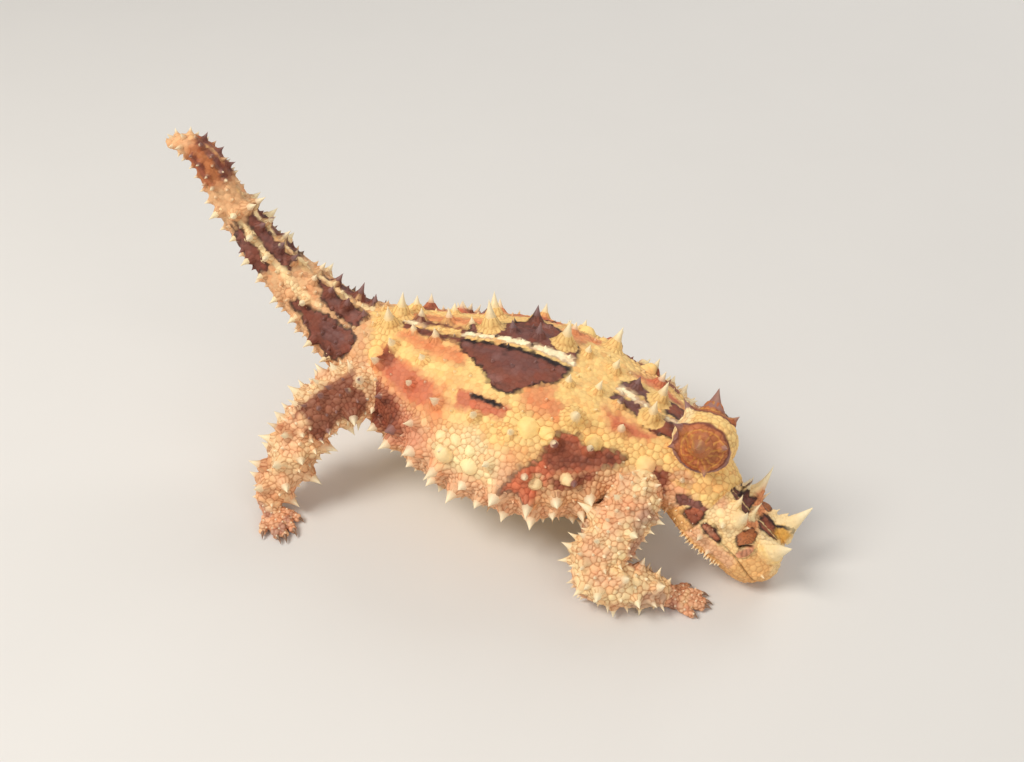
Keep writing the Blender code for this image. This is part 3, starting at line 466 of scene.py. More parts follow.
# Folds of the head as lines of along and angle: depth, width, points
HEAD_FOLDS = [
    (0.34, 0.2, [(6.6, -68), (7.3, -76), (8.3, -80), (9.4, -80), (10.4, -77)]),
    (0.22, 0.2, [(10.4, -77), (11.6, -75.5), (12.3, -66), (12.3, -54), (11.6, -43)]),
    (0.3, 0.22, [(1.2, -56), (1.9, -66), (2.0, -90), (2.4, -104)]),
    (0.26, 0.18, [(2.2, -62), (4.4, -60.5), (6.4, -64), (7.4, -71)]),
]


def light(name):
    """A palette colour as linear light."""
    c = np.array(PALETTE[name])
    return np.where(c <= 0.04045, c / 12.92, ((c + 0.055) / 1.055) ** 2.4)


def toward(colours, name, share):
    """The colours moved towards one of the palette, by a share for each point."""
    return colours + (light(name) - colours) * np.reshape(share, (-1, 1))


def unit(vectors):
    """The vectors at length one."""
    return vectors / np.maximum(np.linalg.norm(vectors, axis=-1, keepdims=True), 1e-9)


def bell(distance, width):
    """A smooth bump: 1 at no distance, and little beyond the width."""
    return np.exp(-((distance / width) ** 2))


def wrapped(turn):
    """The same turn, between minus and plus half a circle."""
    return turn - math.tau * np.round(turn / math.tau)


def smooth_step(low, high, values):
    """0 at low, 1 at high, and a smooth step between; low may be the greater."""
    t = np.clip((values - low) / (high - low), 0, 1)
    return t * t * (3 - 2 * t)


def squares_to(vectors):
    """Two directions square to each of the vectors given."""
    helper = np.where(np.abs(vectors[:, 2:3]) < 0.8, (0.0, 0.0, 1.0), (1.0, 0.0, 0.0))
    side = unit(np.cross(helper, vectors))
    return side, np.cross(vectors, side)


def hash_of(cells, seed):
    """A number from -1 to 1 for each cell of a grid, the same for the same seed."""
    mixed = cells[:, 0] * 73856093 ^ cells[:, 1] * 19349663 ^ cells[:, 2] * 83492791 ^ (seed * 2654435)
    mixed = (mixed ^ (mixed >> 13)) * 1274126177
    return ((mixed ^ (mixed >> 16)) & 0xFFFF) / 32767.5 - 1.0


def noise(points, size, seed):
    """Smooth noise from -1 to 1, with features about size millimetres across."""
    spots = points / size
    cells = np.floor(spots).astype(np.int64)
    part = spots - cells
    part = part * part * (3 - 2 * part)
    total = np.zeros(len(points))
    for corner in range(8):
        pick = np.array((corner & 1, corner >> 1 & 1, corner >> 2 & 1))
        weight = np.prod(np.where(pick, part, 1 - part), axis=1)
        total += weight * hash_of(cells + pick, seed)
    return total


def cell_gap(points, size, seed):
    """Distance of each point from the nearest of scattered centres, as a share of their spacing."""
    spots = points / size
    low = np.floor(spots - 0.5).astype(np.int64)
    best = np.full(len(points), 9.0)
    for corner in range(8):
        cells = low + np.array((corner & 1, corner >> 1 & 1, corner >> 2 & 1))
        centres = cells + 0.5 + 0.4 * np.stack([hash_of(cells, seed + n) for n in range(3)], axis=1)
        best = np.minimum(best, np.linalg.norm(spots - centres, axis=1))
    return best


def inside_by(points, corners):
    """How far inside a polygon each point is, below zero outside."""
    best = np.full(len(points), 1e9)
    odd = np.zeros(len(points), bool)
    for start, end in zip(corners, np.roll(corners, -1, axis=0)):
        edge = end - start
        share = np.clip((points - start) @ edge / (edge @ edge), 0, 1)
        best = np.minimum(best, np.linalg.norm(points - start - share[:, None] * edge, axis=1))
        if start[1] != end[1]:
            crosses = (start[1] > points[:, 1]) != (end[1] > points[:, 1])
            odd ^= crosses & (points[:, 0] < edge[0] * (points[:, 1] - start[1]) / edge[1] + start[0])
    return np.where(odd, best, -best)


def from_line(points, line):
    """Distance of each point from an open line, and how far along the line it is, from 0 to 1."""
    best, where = np.full(len(points), 1e9), np.zeros(len(points))
    for n, (start, end) in enumerate(zip(line, line[1:])):
        edge = end - start
        share = np.clip((points - start) @ edge / (edge @ edge), 0, 1)
        gap = np.linalg.norm(points - start - share[:, None] * edge, axis=1)
        closer = gap < best
        best = np.where(closer, gap, best)
        where = np.where(closer, (n + share) / (len(line) - 1), where)
    return best, where


class Tube:
    """A body that follows a bent line, with its own half width, height and depth along it."""

    def __init__(self, stations, up, relief=(), square=BODY_SQUARE, place=None):
        self.rows = np.array([s if len(s) == 6 else (*s, s[3], s[3]) for s in stations], float)
        self.up = np.array(up, float)
        self.square = square
        self.place = np.array(place if place else Matrix.Identity(4))
        steps = np.linalg.norm(np.diff(self.rows[:, :3], axis=0), axis=1)
        self.knots = np.concatenate([[0], np.cumsum(steps)])
        self.length = self.knots[-1]
        self.slopes = np.gradient(self.rows, self.knots, axis=0)
        self.relief = [
            (self.at(x), math.radians(a), along, math.radians(round_), height)
            for x, a, along, round_, height in relief
        ]

    def at(self, x):
        """How far along the line the first coordinate reaches x."""
        return np.interp(x, self.rows[:, 0], self.knots)

    def x_of(self, s):
        """The first coordinate at each place along the line."""
        return np.interp(s, self.knots, self.rows[:, 0])

    def row(self, s):
        """Centre and sizes at each place, on a smooth curve through the stations."""
        s = np.clip(s, 0.0, self.length)
        i = np.clip(np.searchsorted(self.knots, s, "right") - 1, 0, len(self.knots) - 2)
        h = (self.knots[i + 1] - self.knots[i])[:, None]
        t = (s - self.knots[i])[:, None] / h
        a = 2 * t**3 - 3 * t**2 + 1
        b = t**3 - 2 * t**2 + t
        c = -2 * t**3 + 3 * t**2
        d = t**3 - t**2
        rows, slopes = self.rows, self.slopes
        return a * rows[i] + b * h * slopes[i] + c * rows[i + 1] + d * h * slopes[i + 1]

    def frame(self, s):
        """Centre, direction, left and up at each s, and the sizes."""
        near = 0.4
        row = self.row(s)
        along = unit(self.row(s + near)[:, :3] - self.row(s - near)[:, :3])
        left = unit(np.cross(self.up, along))
        return row[:, :3], along, left, np.cross(along, left), row[:, 3:]

    def placed(self, points):
        """Points of the tube's own frame in the body's."""
        return points @ self.place[:3, :3].T + self.place[:3, 3]

    def turned(self, vectors):
        """Ways of the tube's own frame in the body's."""
        return vectors @ self.place[:3, :3].T

    def reach(self, s, angle, frames=None):
        """Centre of the section and the way from it to the skin; angle 0 is up, and left is positive."""
        centre, _, left, up, sizes = frames or self.frame(s)
        top = np.cos(angle) > 0
        height = np.where(top, sizes[:, 1], sizes[:, 2])
        power = 2 / np.where(top, *self.square)
        across = np.sign(np.sin(angle)) * np.abs(np.sin(angle)) ** power * sizes[:, 0]
        upward = np.sign(np.cos(angle)) * np.abs(np.cos(angle)) ** power * height
        offset = left * across[:, None] + up * upward[:, None]
        lift = np.zeros(len(s))
        for at, turn, along, round_, size in self.relief:
            lift += size * np.exp(-(((s - at) / along) ** 2) - ((np.abs(angle) - turn) / round_) ** 2)
        return centre, offset + unit(offset) * lift[:, None]

    def point(self, s, angle):
        """Points of the skin."""
        s, angle = np.atleast_1d(np.asarray(s, float)), np.atleast_1d(np.asarray(angle, float))
        centre, offset = self.reach(s, angle)
        return self.placed(centre + offset)

    def normal(self, s, angle):
        """The way out of the skin."""
        s, angle = np.atleast_1d(np.asarray(s, float)), np.atleast_1d(np.asarray(angle, float))
        along = self.point(s + 0.5, angle) - self.point(s - 0.5, angle)
        round_ = self.point(s, angle + 0.05) - self.point(s, angle - 0.05)
        out = unit(np.cross(round_, along))
        inner = self.placed(self.row(s)[:, :3])
        facing = np.sum(out * (self.point(s, angle) - inner), axis=1)
        return out * np.sign(facing)[:, None]

    def spot(self, s, angle):
        """One point of the skin and the way out of it."""
        return self.point(s, angle)[0], self.normal(s, angle)[0]

    def places(self, points):
        """Where each point lies: along the line, angle round it, and its height over the surface."""
        points = (points - self.place[:3, 3]) @ self.place[:3, :3]
        places = np.linspace(0, self.length, max(24, int(self.length * 1.6)))
        centres, alongs = self.frame(places)[:2]
        nearest = np.empty(len(points), int)
        for start in range(0, len(points), 20000):
            part = points[start:start + 20000]
            gaps = np.sum(part**2, axis=1)[:, None] - 2 * part @ centres.T + np.sum(centres**2, axis=1)
            nearest[start:start + 20000] = np.argmin(gaps, axis=1)
        s = places[nearest] + np.sum((points - centres[nearest]) * alongs[nearest], axis=1)
        beyond = np.maximum(s - self.length, 0) + np.maximum(-s, 0)
        s = np.clip(s, 0, self.length)
        frames = self.frame(s)
        centre, _, left, up, sizes = frames
        away = points - centre
        across = np.sum(away * left, axis=1) / sizes[:, 0]
        upward = np.sum(away * up, axis=1)
        top = upward > 0
        upward = upward / np.where(top, sizes[:, 1], sizes[:, 2])
        power = np.where(top, *self.square) / 2
        angle = np.arctan2(
            np.sign(across) * np.abs(across) ** power, np.sign(upward) * np.abs(upward) ** power)
        _, offset = self.reach(s, angle, frames)
        flat = np.hypot(np.sum(away * left, axis=1), np.sum(away * up, axis=1))
        gap = flat - np.linalg.norm(offset, axis=1)
        ends = np.minimum(beyond, 30)
        return s, angle, np.where(ends > 0, np.hypot(np.maximum(gap, 0), ends), gap)


def head_frame():
    """The head's own frame: +X to the snout, +Y left, +Z up from the crown."""
    turn = Matrix.Rotation(math.radians(-HEAD_TURN), 4, "Z") @ Matrix.Rotation(math.radians(HEAD_BOW), 4, "Y")
    return Matrix.Translation(HEAD_AT) @ turn @ Matrix.Rotation(math.radians(HEAD_ROLL), 4, "X")


BODY_TUBE = Tube(BODY, BODY_UP, HUMPS)
HEAD_TUBE = Tube(HEAD, (0, 0, 1), HEAD_RELIEF, HEAD_SQUARE, head_frame())
LIMB_TUBES = {name: Tube(LIMBS[name], LIMB_UPS[name]) for name in LIMBS}
TUBES = {"body": BODY_TUBE, "head": HEAD_TUBE, **LIMB_TUBES}
KNOB_FRAME = np.array(Matrix.Rotation(math.radians(KNOB_TURN), 3, "Z"))
REGIONS = [*TUBES, "knob", *PAWS]
NUMBER = {name: n for n, name in enumerate(REGIONS)}


def eye_centre(side):
    """Middle of the eyeball on one side, -1 for the right and 1 for the left."""
    root, out = HEAD_TUBE.spot(HEAD_TUBE.at(EYE_ALONG), side * math.radians(EYE_ANGLE))
    return root - out * (EYE_RADIUS * EYE_SUNK)


def eye_axes(side):
    """Out of the eye, along the slit and across it, towards the upper lid."""
    out = HEAD_TUBE.spot(HEAD_TUBE.at(EYE_ALONG), side * math.radians(EYE_ANGLE))[1]
    slant = math.radians(EYE_SLANT)
    along = HEAD_TUBE.turned(np.array((math.cos(slant), 0, math.sin(slant))))
    along = unit(along - out * (along @ out))
    across = np.cross(out, along)
    back = HEAD_TUBE.turned(np.array((-1.0, 0, 0.4)))
    return out, along, across * np.sign(across @ back)


def knob_places(points):
    """Direction from the knob's middle in its own frame, and height over its surface."""
    away = (points - KNOB_AT) @ KNOB_FRAME
    far = np.linalg.norm(away / KNOB_RADII, axis=1)
    return unit(away), (far - 1) * np.linalg.norm(away, axis=1) / np.maximum(far, 1e-6)


def digit(root, out, bend, length):
    """A digit as a line of points with radii, and the first and last point of its claw."""
    foot = root * (1.0, 1.0, 0.0)
    line = [root]
    for part, high in DIGIT_LINE:
        line.append(foot + out * length * part + bend * length * part**2 + (0, 0, high))
    claw_tip = foot + (out * 1.4 + bend * 1.9) * length + (0, 0, 0.22)
    return (line, DIGIT_RADII), (line[-1], claw_tip)


def paw_bones(name):
    """The palm and digits as lines of points with radii, and the first and last point of each claw."""
    limb_name, heading, palm, reach = PAWS[name]
    limb = LIMB_TUBES[limb_name]
    ends = limb.row(np.array([limb.length, limb.length - 1.0]))[:, :3]
    start = ends[0] - unit(ends[0] - ends[1]) * 0.3
    side = 1 if name.startswith("left") else -1
    way = np.array((math.cos(math.radians(heading)), math.sin(math.radians(heading)), 0.0))
    wrist = start * (1.0, 1.0, 0.0)
    middle = wrist + way * palm * 0.5 + (0, 0, 1.35)
    front = wrist + way * palm + (0, 0, 1.05)
    bones, claws = [([start, middle, front], PALM_RADII)], []
    for degrees, share, bend in DIGITS:
        out = np.array(Matrix.Rotation(math.radians(degrees * side), 3, "Z")) @ way
        sideways = np.cross((0, 0, 1.0), out) * (bend * side)
        bone, claw = digit(middle + out * 0.9, out, sideways, reach * share)
        bones.append(bone)
        claws.append(claw)
    return bones, claws


def bone_gap(points, bones):
    """Height of each point over the nearest of the bones."""
    best = np.full(len(points), 1e9)
    for line, sizes in bones:
        for n in range(len(line) - 1):
            edge = line[n + 1] - line[n]
            share = np.clip((points - line[n]) @ edge / (edge @ edge), 0, 1)
            size = sizes[n] * (1 - share) + sizes[n + 1] * share
            best = np.minimum(best, np.linalg.norm(points - line[n] - share[:, None] * edge, axis=1) - size)
    return best


PAW_BONES = {name: paw_bones(name) for name in PAWS}


# Meshes of the base shapes

def loops_to_faces(rings, sides):
    """Triangles between rings of points; the two points that follow the rings close the ends as fans."""
    ring, side = np.meshgrid(np.arange(rings - 1), np.arange(sides), indexing="ij")
    a = ring * sides + side
    b = ring * sides + (side + 1) % sides
    quads = np.stack([a, b, b + sides, a, b + sides, a + sides], axis=-1).reshape(-1, 3)
    k = np.arange(sides)
    start, end, last = rings * sides, rings * sides + 1, (rings - 1) * sides
    low = np.stack([np.full(sides, start), (k + 1) % sides, k], axis=1)
    high = np.stack([np.full(sides, end), last + k, last + (k + 1) % sides], axis=1)
    return np.concatenate([quads, low, high])


CAP_TURNS = [1.45 * share for share in (0.96, 0.8, 0.55, 0.28)]  # of a cap's rings, from its tip to its rim


def tube_shell(tube, start, end, caps=(0.3, 0.3), step=0.9, sides=64):
    """A closed surface round a tube, with rounded caps of the depths given."""
    angles = np.arange(sides) * math.tau / sides - math.pi

    def loop(s, out=0.0, turn=0.0):
        centre, offset = tube.reach(np.full(sides, s), angles)
        return tube.placed(centre + offset * math.cos(turn) + out * math.sin(turn))

    low = tube.frame(np.array([start]))[1][0] * -1 * caps[0]
    high = tube.frame(np.array([end]))[1][0] * caps[1]
    loops = [loop(start, low, turn) for turn in CAP_TURNS]
    loops += [loop(s) for s in np.linspace(start, end, max(6, int((end - start) / step)))]
    loops += [loop(end, high, turn) for turn in reversed(CAP_TURNS)]
    tips = [tube.placed(tube.row(np.array([s]))[:, :3] + out) for s, out in ((start, low), (end, high))]
    return np.concatenate([*loops, *tips]), loops_to_faces(len(loops), sides)


def ball_shell(centre, radii, turn=None, rings=24, sides=36):
    """A closed ellipsoid."""
    lat = (np.arange(rings) + 0.5) / rings * math.pi
    lon = np.arange(sides) * math.tau / sides
    grid = np.stack([
        np.sin(lat)[:, None] * np.cos(lon), np.sin(lat)[:, None] * np.sin(lon),
        np.cos(lat)[:, None] * np.ones(sides)], axis=-1).reshape(-1, 3)
    points = np.concatenate([grid, [(0, 0, 1), (0, 0, -1)]]) * radii
    if turn is not None:
        points = points @ turn.T
    return points + centre, loops_to_faces(rings, sides)


def bone_shells(bones):
    """Balls along each bone, which the remesh fuses."""
    shells = []
    for line, sizes in bones:
        for n in range(len(line) - 1):
            for share in (0.0, 0.34, 0.67):
                point = line[n] * (1 - share) + line[n + 1] * share
                size = sizes[n] * (1 - share) + sizes[n + 1] * share
                shells.append(ball_shell(point, np.full(3, size), rings=10, sides=14))
        shells.append(ball_shell(line[-1], np.full(3, sizes[-1]), rings=10, sides=14))
    return shells


def mesh_of(name, points, faces):
    """A mesh in metres, in the model's frame."""
    mesh = bpy.data.meshes.new(name)
    points = np.ascontiguousarray((points - SHIFT) * MM, np.float32)
    faces = np.ascontiguousarray(faces, np.int32)
    mesh.vertices.add(len(points))
    mesh.vertices.foreach_set("co", points.ravel())
    mesh.loops.add(faces.size)
    mesh.loops.foreach_set("vertex_index", faces.ravel())
    mesh.polygons.add(len(faces))
    mesh.polygons.foreach_set("loop_start", np.arange(len(faces), dtype=np.int32) * faces.shape[1])
    mesh.update(calc_edges=True)
    return mesh


def piece(name, points, faces, finish):
    """A smooth shaded mesh object with its material and slot, which rides on the model's one body."""
    mesh = mesh_of(name, points, faces)
    mesh.polygons.foreach_set("use_smooth", np.ones(len(mesh.polygons), bool))
    obj = bpy.data.objects.new(name, mesh)
    bpy.context.scene.collection.objects.link(obj)
    mesh.materials.append(finish)
    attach(obj, "root")
    return obj


def points_of(mesh):
    """A mesh's points in millimetres, in the frame of the tables."""
    flat = np.empty(len(mesh.vertices) * 3, np.float32)
    mesh.vertices.foreach_get("co", flat)
    return flat.reshape(-1, 3).astype(float) / MM + SHIFT


def base_shells():
    """All closed surfaces that the skin is fused from."""
    shells = [
        tube_shell(BODY_TUBE, 0.0, BODY_TUBE.length, (0.8, 0.5)),
        tube_shell(HEAD_TUBE, 0.0, HEAD_TUBE.length, (0.5, 1.3), step=0.5),
        ball_shell(KNOB_AT, KNOB_RADII, KNOB_FRAME, rings=30, sides=44),
    ]
    for limb in LIMB_TUBES.values():
        shells.append(tube_shell(limb, 0.0, limb.length, (0.6, 0.8), sides=40))
    for side in (-1, 1):
        shells.append(ball_shell(eye_centre(side), np.full(3, LID_RADIUS)))
    for bones, _ in PAW_BONES.values():
        shells += bone_shells(bones)
    return shells


def above_floor(points):
    """The points, with none of them under the floor."""
    points[:, 2] = np.maximum(points[:, 2], FLOOR_GAP)
    return points


def joined(shells):
    """The points and triangles of several surfaces as one."""
    counts = np.cumsum([0] + [len(points) for points, _ in shells])
    points = np.concatenate([points for points, _ in shells])
    return points, np.concatenate([faces + count for (_, faces), count in zip(shells, counts)])


def fused(shells, voxel):
    """One closed surface round all the shells: its points and triangles."""
    mesh = mesh_of("shells", *joined(shells))
    obj = bpy.data.objects.new("shells", mesh)
    bpy.context.scene.collection.objects.link(obj)
    change = obj.modifiers.new("fuse", "REMESH")
    change.mode = "VOXEL"
    change.voxel_size = voxel * MM
    graph = bpy.context.evaluated_depsgraph_get()
    made = bpy.data.meshes.new_from_object(obj.evaluated_get(graph), depsgraph=graph)
    made.calc_loop_triangles()
    flat = np.empty(len(made.loop_triangles) * 3, np.int32)
    made.loop_triangles.foreach_get("vertices", flat)
    result = points_of(made), flat.reshape(-1, 3).astype(int)
    bpy.data.objects.remove(obj)
    bpy.data.meshes.remove(mesh)
    bpy.data.meshes.remove(made)
    return largest_part(*result)


def largest_part(points, faces):
    """Keeps the surface with most points, which drops any closed hollow inside."""
    label = np.arange(len(points))
    while True:
        low = label[faces].min(axis=1)
        new = label.copy()
        for k in range(3):
            np.minimum.at(new, faces[:, k], low)
        new = new[new]
        if np.array_equal(new, label):
            break
        label = new
    keep = label == np.bincount(label).argmax()
    number = np.cumsum(keep) - 1
    return points[keep], number[faces[keep[faces[:, 0]]]]


def edges_of(faces):
    """Each edge once, as a pair of points."""
    ends = np.concatenate([faces[:, [0, 1]], faces[:, [1, 2]], faces[:, [2, 0]]])
    return np.unique(np.sort(ends, axis=1), axis=0)


def relaxed(points, edges, rounds, weight):
    """Moves each point towards the middle of its neighbours, by its weight, again and again."""
    count = np.bincount(edges.ravel(), minlength=len(points))[:, None]
    for _ in range(rounds):
        total = np.stack([
            np.bincount(edges[:, 0], points[edges[:, 1], k], len(points))
            + np.bincount(edges[:, 1], points[edges[:, 0], k], len(points)) for k in range(3)], axis=1)
        points = points + (total / count - points) * weight[:, None]
    return points


def normals_of(points, faces):
    """The way out at each point, from the faces round it."""
    corners = points[faces]
    face = np.cross(corners[:, 1] - corners[:, 0], corners[:, 2] - corners[:, 0])
    total = np.stack([
        sum(np.bincount(faces[:, c], face[:, k], len(points)) for c in range(3)) for k in range(3)], axis=1)
    return unit(total)


class Surface:
    """Where points lie on the animal: region, place along it and angle round it."""

    def __init__(self, points):
        self.points = points
        gaps, self.s, self.angle = [], {}, {}
        for name, tube in TUBES.items():
            s, angle, gap = tube.places(points)
            self.s[name], self.angle[name] = s, angle
            gaps.append(gap)
        self.knob, gap = knob_places(points)
        gaps.append(gap)
        for bones, _ in PAW_BONES.values():
            gaps.append(bone_gap(points, bones))
        self.gaps = np.stack(gaps)
        self.region = np.argmin(self.gaps, axis=0)

    def own(self):
        """Place along and angle round in each point's own region."""
        s, angle = np.zeros(len(self.points)), np.zeros(len(self.points))
        for name in TUBES:
            here = self.region == NUMBER[name]
            s[here], angle[here] = self.s[name][here], self.angle[name][here]
        return s, angle


# Markings

def painted(colours, tube, marks, x, degrees, points, blur=1.0, lobe=1.5):
    """Lays the marks over the colours, at places given by x along the tube and degrees round it."""
    scallops = (cell_gap(points, lobe, 3) - 0.5) * lobe * 0.7 + noise(points, 0.6, 4) * 0.1
    smoke = smooth_step(0.0, 0.6, noise(points, 1.7, 5) + 0.5 * noise(points, 0.7, 6))
    glow = smooth_step(0.1, 0.7, noise(points, 2.3, 7))
    for name, side, rim, soft, corners in marks:
        corners = np.array(corners, float)
        middle = tube.frame(np.atleast_1d(tube.at(corners[:, 0].mean())))[4][0]
        per_degree = math.radians(1) * (middle[0] * 0.5 + middle[1] * 0.5)
        angle = -np.abs(degrees) if side == "both" else degrees
        low, high = corners.min(axis=0), corners.max(axis=0)
        margin = soft * blur + rim + 1.0
        near = (x > low[0] - margin) & (x < high[0] + margin)
        near &= (angle > low[1] - margin / per_degree) & (angle < high[1] + margin / per_degree)
        if side == "left":
            near &= degrees > 0
        if not near.any():
            continue
        flat = np.stack([x[near], angle[near] * per_degree], axis=1)
        depth = inside_by(flat, corners * (1, per_degree)) + scallops[near] * min(1.0, 0.35 + soft)
        paint = np.tile(light(name), (len(depth), 1))
        if name in ("brown", "purple", "russet"):
            paint = toward(paint, "black", smoke[near] * 0.35)
            paint = toward(paint, "rust" if name == "russet" else "lilac", glow[near] * 0.35)
        if rim:
            edge = 1 - smooth_step(rim * 0.5, rim * 1.4, depth)
            pale = name in ("cream", "yellow", "white")
            paint = toward(paint, "russet", edge * 0.6) if pale else toward(paint, "black", edge * 0.9)
        share = smooth_step(-soft * blur, soft * blur, depth)[:, None]
        colours[near] += (paint - colours[near]) * share
    return colours


def body_colours(x, degrees, points):
    """A yellow back and peach sides under the body's marks."""
    side = smooth_step(48, 78, np.abs(degrees) + noise(points, 4.0, 11) * 8)
    base = toward(np.tile(light("yellow"), (len(x), 1)), "peach", side)
    base = toward(base, "orange", smooth_step(0.1, 0.7, noise(points, 5.0, 12)) * 0.36)
    return painted(base, BODY_TUBE, BODY_MARKS, x, degrees, points)


def head_colours(x, degrees, points):
    """Cream and yellow under the head's marks."""
    base = np.tile(light("cream") * 0.6 + light("yellow") * 0.4, (len(x), 1))
    base = toward(base, "orange", smooth_step(0.1, 0.8, noise(points, 2.4, 13)) * 0.16)
    return painted(base, HEAD_TUBE, HEAD_MARKS, x, degrees, points, 0.8, 0.7)


KNOB_DISC_WAY = unit(np.array((0.05, 0.84, 0.28)))  # from the knob's middle to that of its left disc
KNOB_RING = 0.76  # cosine of the angle from the disc's middle to its pale ring
KNOB_RAYS = 13  # pale rays of a disc


def knob_colours(way, points):
    """A yellow band over the middle, a brown disc with pale rays on each side, and lilac behind."""
    forward, side = way[:, 0], np.abs(way[:, 1])
    wave = noise(points, 1.5, 21) * 0.05
    flat = np.column_stack([forward, side, way[:, 2]])
    disc = flat @ KNOB_DISC_WAY
    across, upward = (flat @ axis[0] for axis in squares_to(KNOB_DISC_WAY[None]))
    far = np.hypot(across, upward)
    band = smooth_step(0.40, 0.34, side + wave - forward * 0.06)
    base = toward(np.tile(light("lilac"), (len(way), 1)), "yellow", band)
    base = toward(base, "cream", smooth_step(-0.35, -0.6, forward + wave) * band)
    inner = smooth_step(0.6, 0.66, disc + wave)
    base = toward(base, "brown", smooth_step(0.52, 0.58, disc + wave))
    base = toward(base, "bark", inner)
    base = toward(base, "rust", inner * smooth_step(-0.4, 0.6, noise(points, 1.6, 22)) * 0.35)
    turn = (np.arctan2(upward, across) + noise(points, 1.2, 23) * 0.15) * KNOB_RAYS / 2
    rays = bell(np.sin(turn) * far / (KNOB_RAYS / 2), 0.022) * smooth_step(0.12, 0.3, far)
    rays *= smooth_step(KNOB_RING - 0.02, KNOB_RING + 0.02, disc)
    ring = bell(disc + wave * 0.3 - KNOB_RING, 0.016)
    return toward(base, "gold", np.maximum(rays, ring) * 0.6)


def limb_colours(name, s, degrees, points):
    """Peach, tan and cream, with a dark band on the thigh, lilac on the arm and brown spots on the shin."""
    share = s / LIMB_TUBES[name].length
    base = np.tile(light("peach"), (len(s), 1))
    base = toward(base, "tan", smooth_step(-0.3, 0.8, noise(points, 2.6, 31)) * 0.6)
    pale = smooth_step(-0.5, 0.5, noise(points, 3.0, 32))
    base = toward(base, "cream", pale * (0.85 if "arm" in name else 0.6))
    rough = noise(points, 2.2, 33) * 0.12
    if "thigh" in name:
        turn = degrees * (1 if name.startswith("right") else -1) + rough * 60
        band = smooth_step(0.3, 0.38, share + rough) * smooth_step(0.9, 0.8, share + rough)
        band *= smooth_step(2, 22, turn) * smooth_step(112, 92, turn)
        dark = light("russet") * 0.5 + light("brown") * 0.5
        base = base + (dark - base) * band[:, None] * 0.92
    if "arm" in name:
        base = toward(base, "lilac", smooth_step(0.4, 0.65, noise(points, 4.0, 34)) * 0.5)
    if "shin" in name:
        base = toward(base, "orange", smooth_step(0.5, 0.9, share + rough) * 0.3)
        base = toward(base, "bark", smooth_step(0.35, 0.6, noise(points, 3.6, 35)) * 0.5)
    return base


def paw_colours(points):
    """Peach and pink with lilac and cream spots."""
    base = np.tile(light("peach") * 0.6 + light("pink") * 0.4, (len(points), 1))
    base = toward(base, "lilac", smooth_step(0.1, 0.6, noise(points, 1.8, 41)) * 0.55)
    return toward(base, "cream", smooth_step(0.2, 0.7, noise(points, 1.4, 42)) * 0.4)


def marked(region, s, angle, way, points):
    """The colour of the markings at places on the animal."""
    colours = np.zeros((len(points), 3))
    degrees = np.degrees(angle)
    for name in REGIONS:
        here = region == NUMBER[name]
        if not here.any():
            continue
        spots = points[here]
        if name == "body":
            colours[here] = body_colours(BODY_TUBE.x_of(s[here]), degrees[here], spots)
        elif name == "head":
            colours[here] = head_colours(HEAD_TUBE.x_of(s[here]), degrees[here], spots)
        elif name == "knob":
            colours[here] = knob_colours(way[here], spots)
        elif name in LIMB_TUBES:
            colours[here] = limb_colours(name, s[here], degrees[here], spots)
        else:
            colours[here] = paw_colours(spots)
    return colours


# Spines

class Keepout:
    """The room that other nodes take, as balls along their lines, so that spines stay clear of them."""

    def __init__(self, tubes):
        self.spheres = []
        for tube, start, end in tubes:
            centres, _, _, _, sizes = tube.frame(np.linspace(start, end, 14))
            self.spheres += list(zip(tube.placed(centres), sizes.max(axis=1)))

    def clear(self, root, tip, room=0.9):
        """Whether a spine from root to tip leaves that room free."""
        for centre, radius in self.spheres:
            for share in (0.0, 0.5, 1.0):
                if np.linalg.norm(root * (1 - share) + tip * share - centre) < radius + room:
                    return False
        return True


class Spines:
    """A growing list of spines: group, root, way, bend of the tip, length and radius."""

    def __init__(self):
        self.rows = []

    def add(self, group, root, way, length, radius, bend=(0.0, 0.0, 0.0)):
        """Adds a spine; some kinds are longer or wider than the solids have them."""
        longer, wider = 1.0, 1.0
        if group == "trunk" and length > 3.6 and root[0] < 21:
            longer, wider = 1.22, 1.15
        elif group == "trunk" and way[2] < 0.2 and length > 1.6:
            longer, wider = 1.1, 1.6
        elif group == "trunk" and length < 3.6 and abs(way[1]) > 0.5:
            wider = 0.8
        elif group == "limbs" and length > 1.4:
            behind = smooth_step(0.1, 0.9, -way[0])
            hind = 1.2 if root[0] < 0 else 1.0
            longer, wider = (1.25 + 0.45 * behind) * hind, (1.3 + 0.35 * behind) * hind
        elif group == "tail" and length > 2.0:
            longer, wider = 1.12, 1.12
        self.rows.append((group, *root, *way, *bend, length * longer, radius * wider))

    def table(self):
        """Groups, roots, ways, bends, lengths and radii, each as an array."""
        rows = np.array([row[1:] for row in self.rows])
        groups = np.array([row[0] for row in self.rows])
        return groups, rows[:, :3], rows[:, 3:6], rows[:, 6:9], rows[:, 9], rows[:, 10]

    def pale(self):
        """Which spines are yellow down to their feet, whatever patch they stand in."""
        groups, roots, _, _, lengths, _ = self.table()
        degrees = np.degrees(BODY_TUBE.places(roots)[1])
        back = (groups == "trunk") & (lengths > 4.2) & (np.abs(degrees) < 60)
        return back | ((groups == "tail") & (lengths > 1.9) & (np.abs(degrees) > 50))


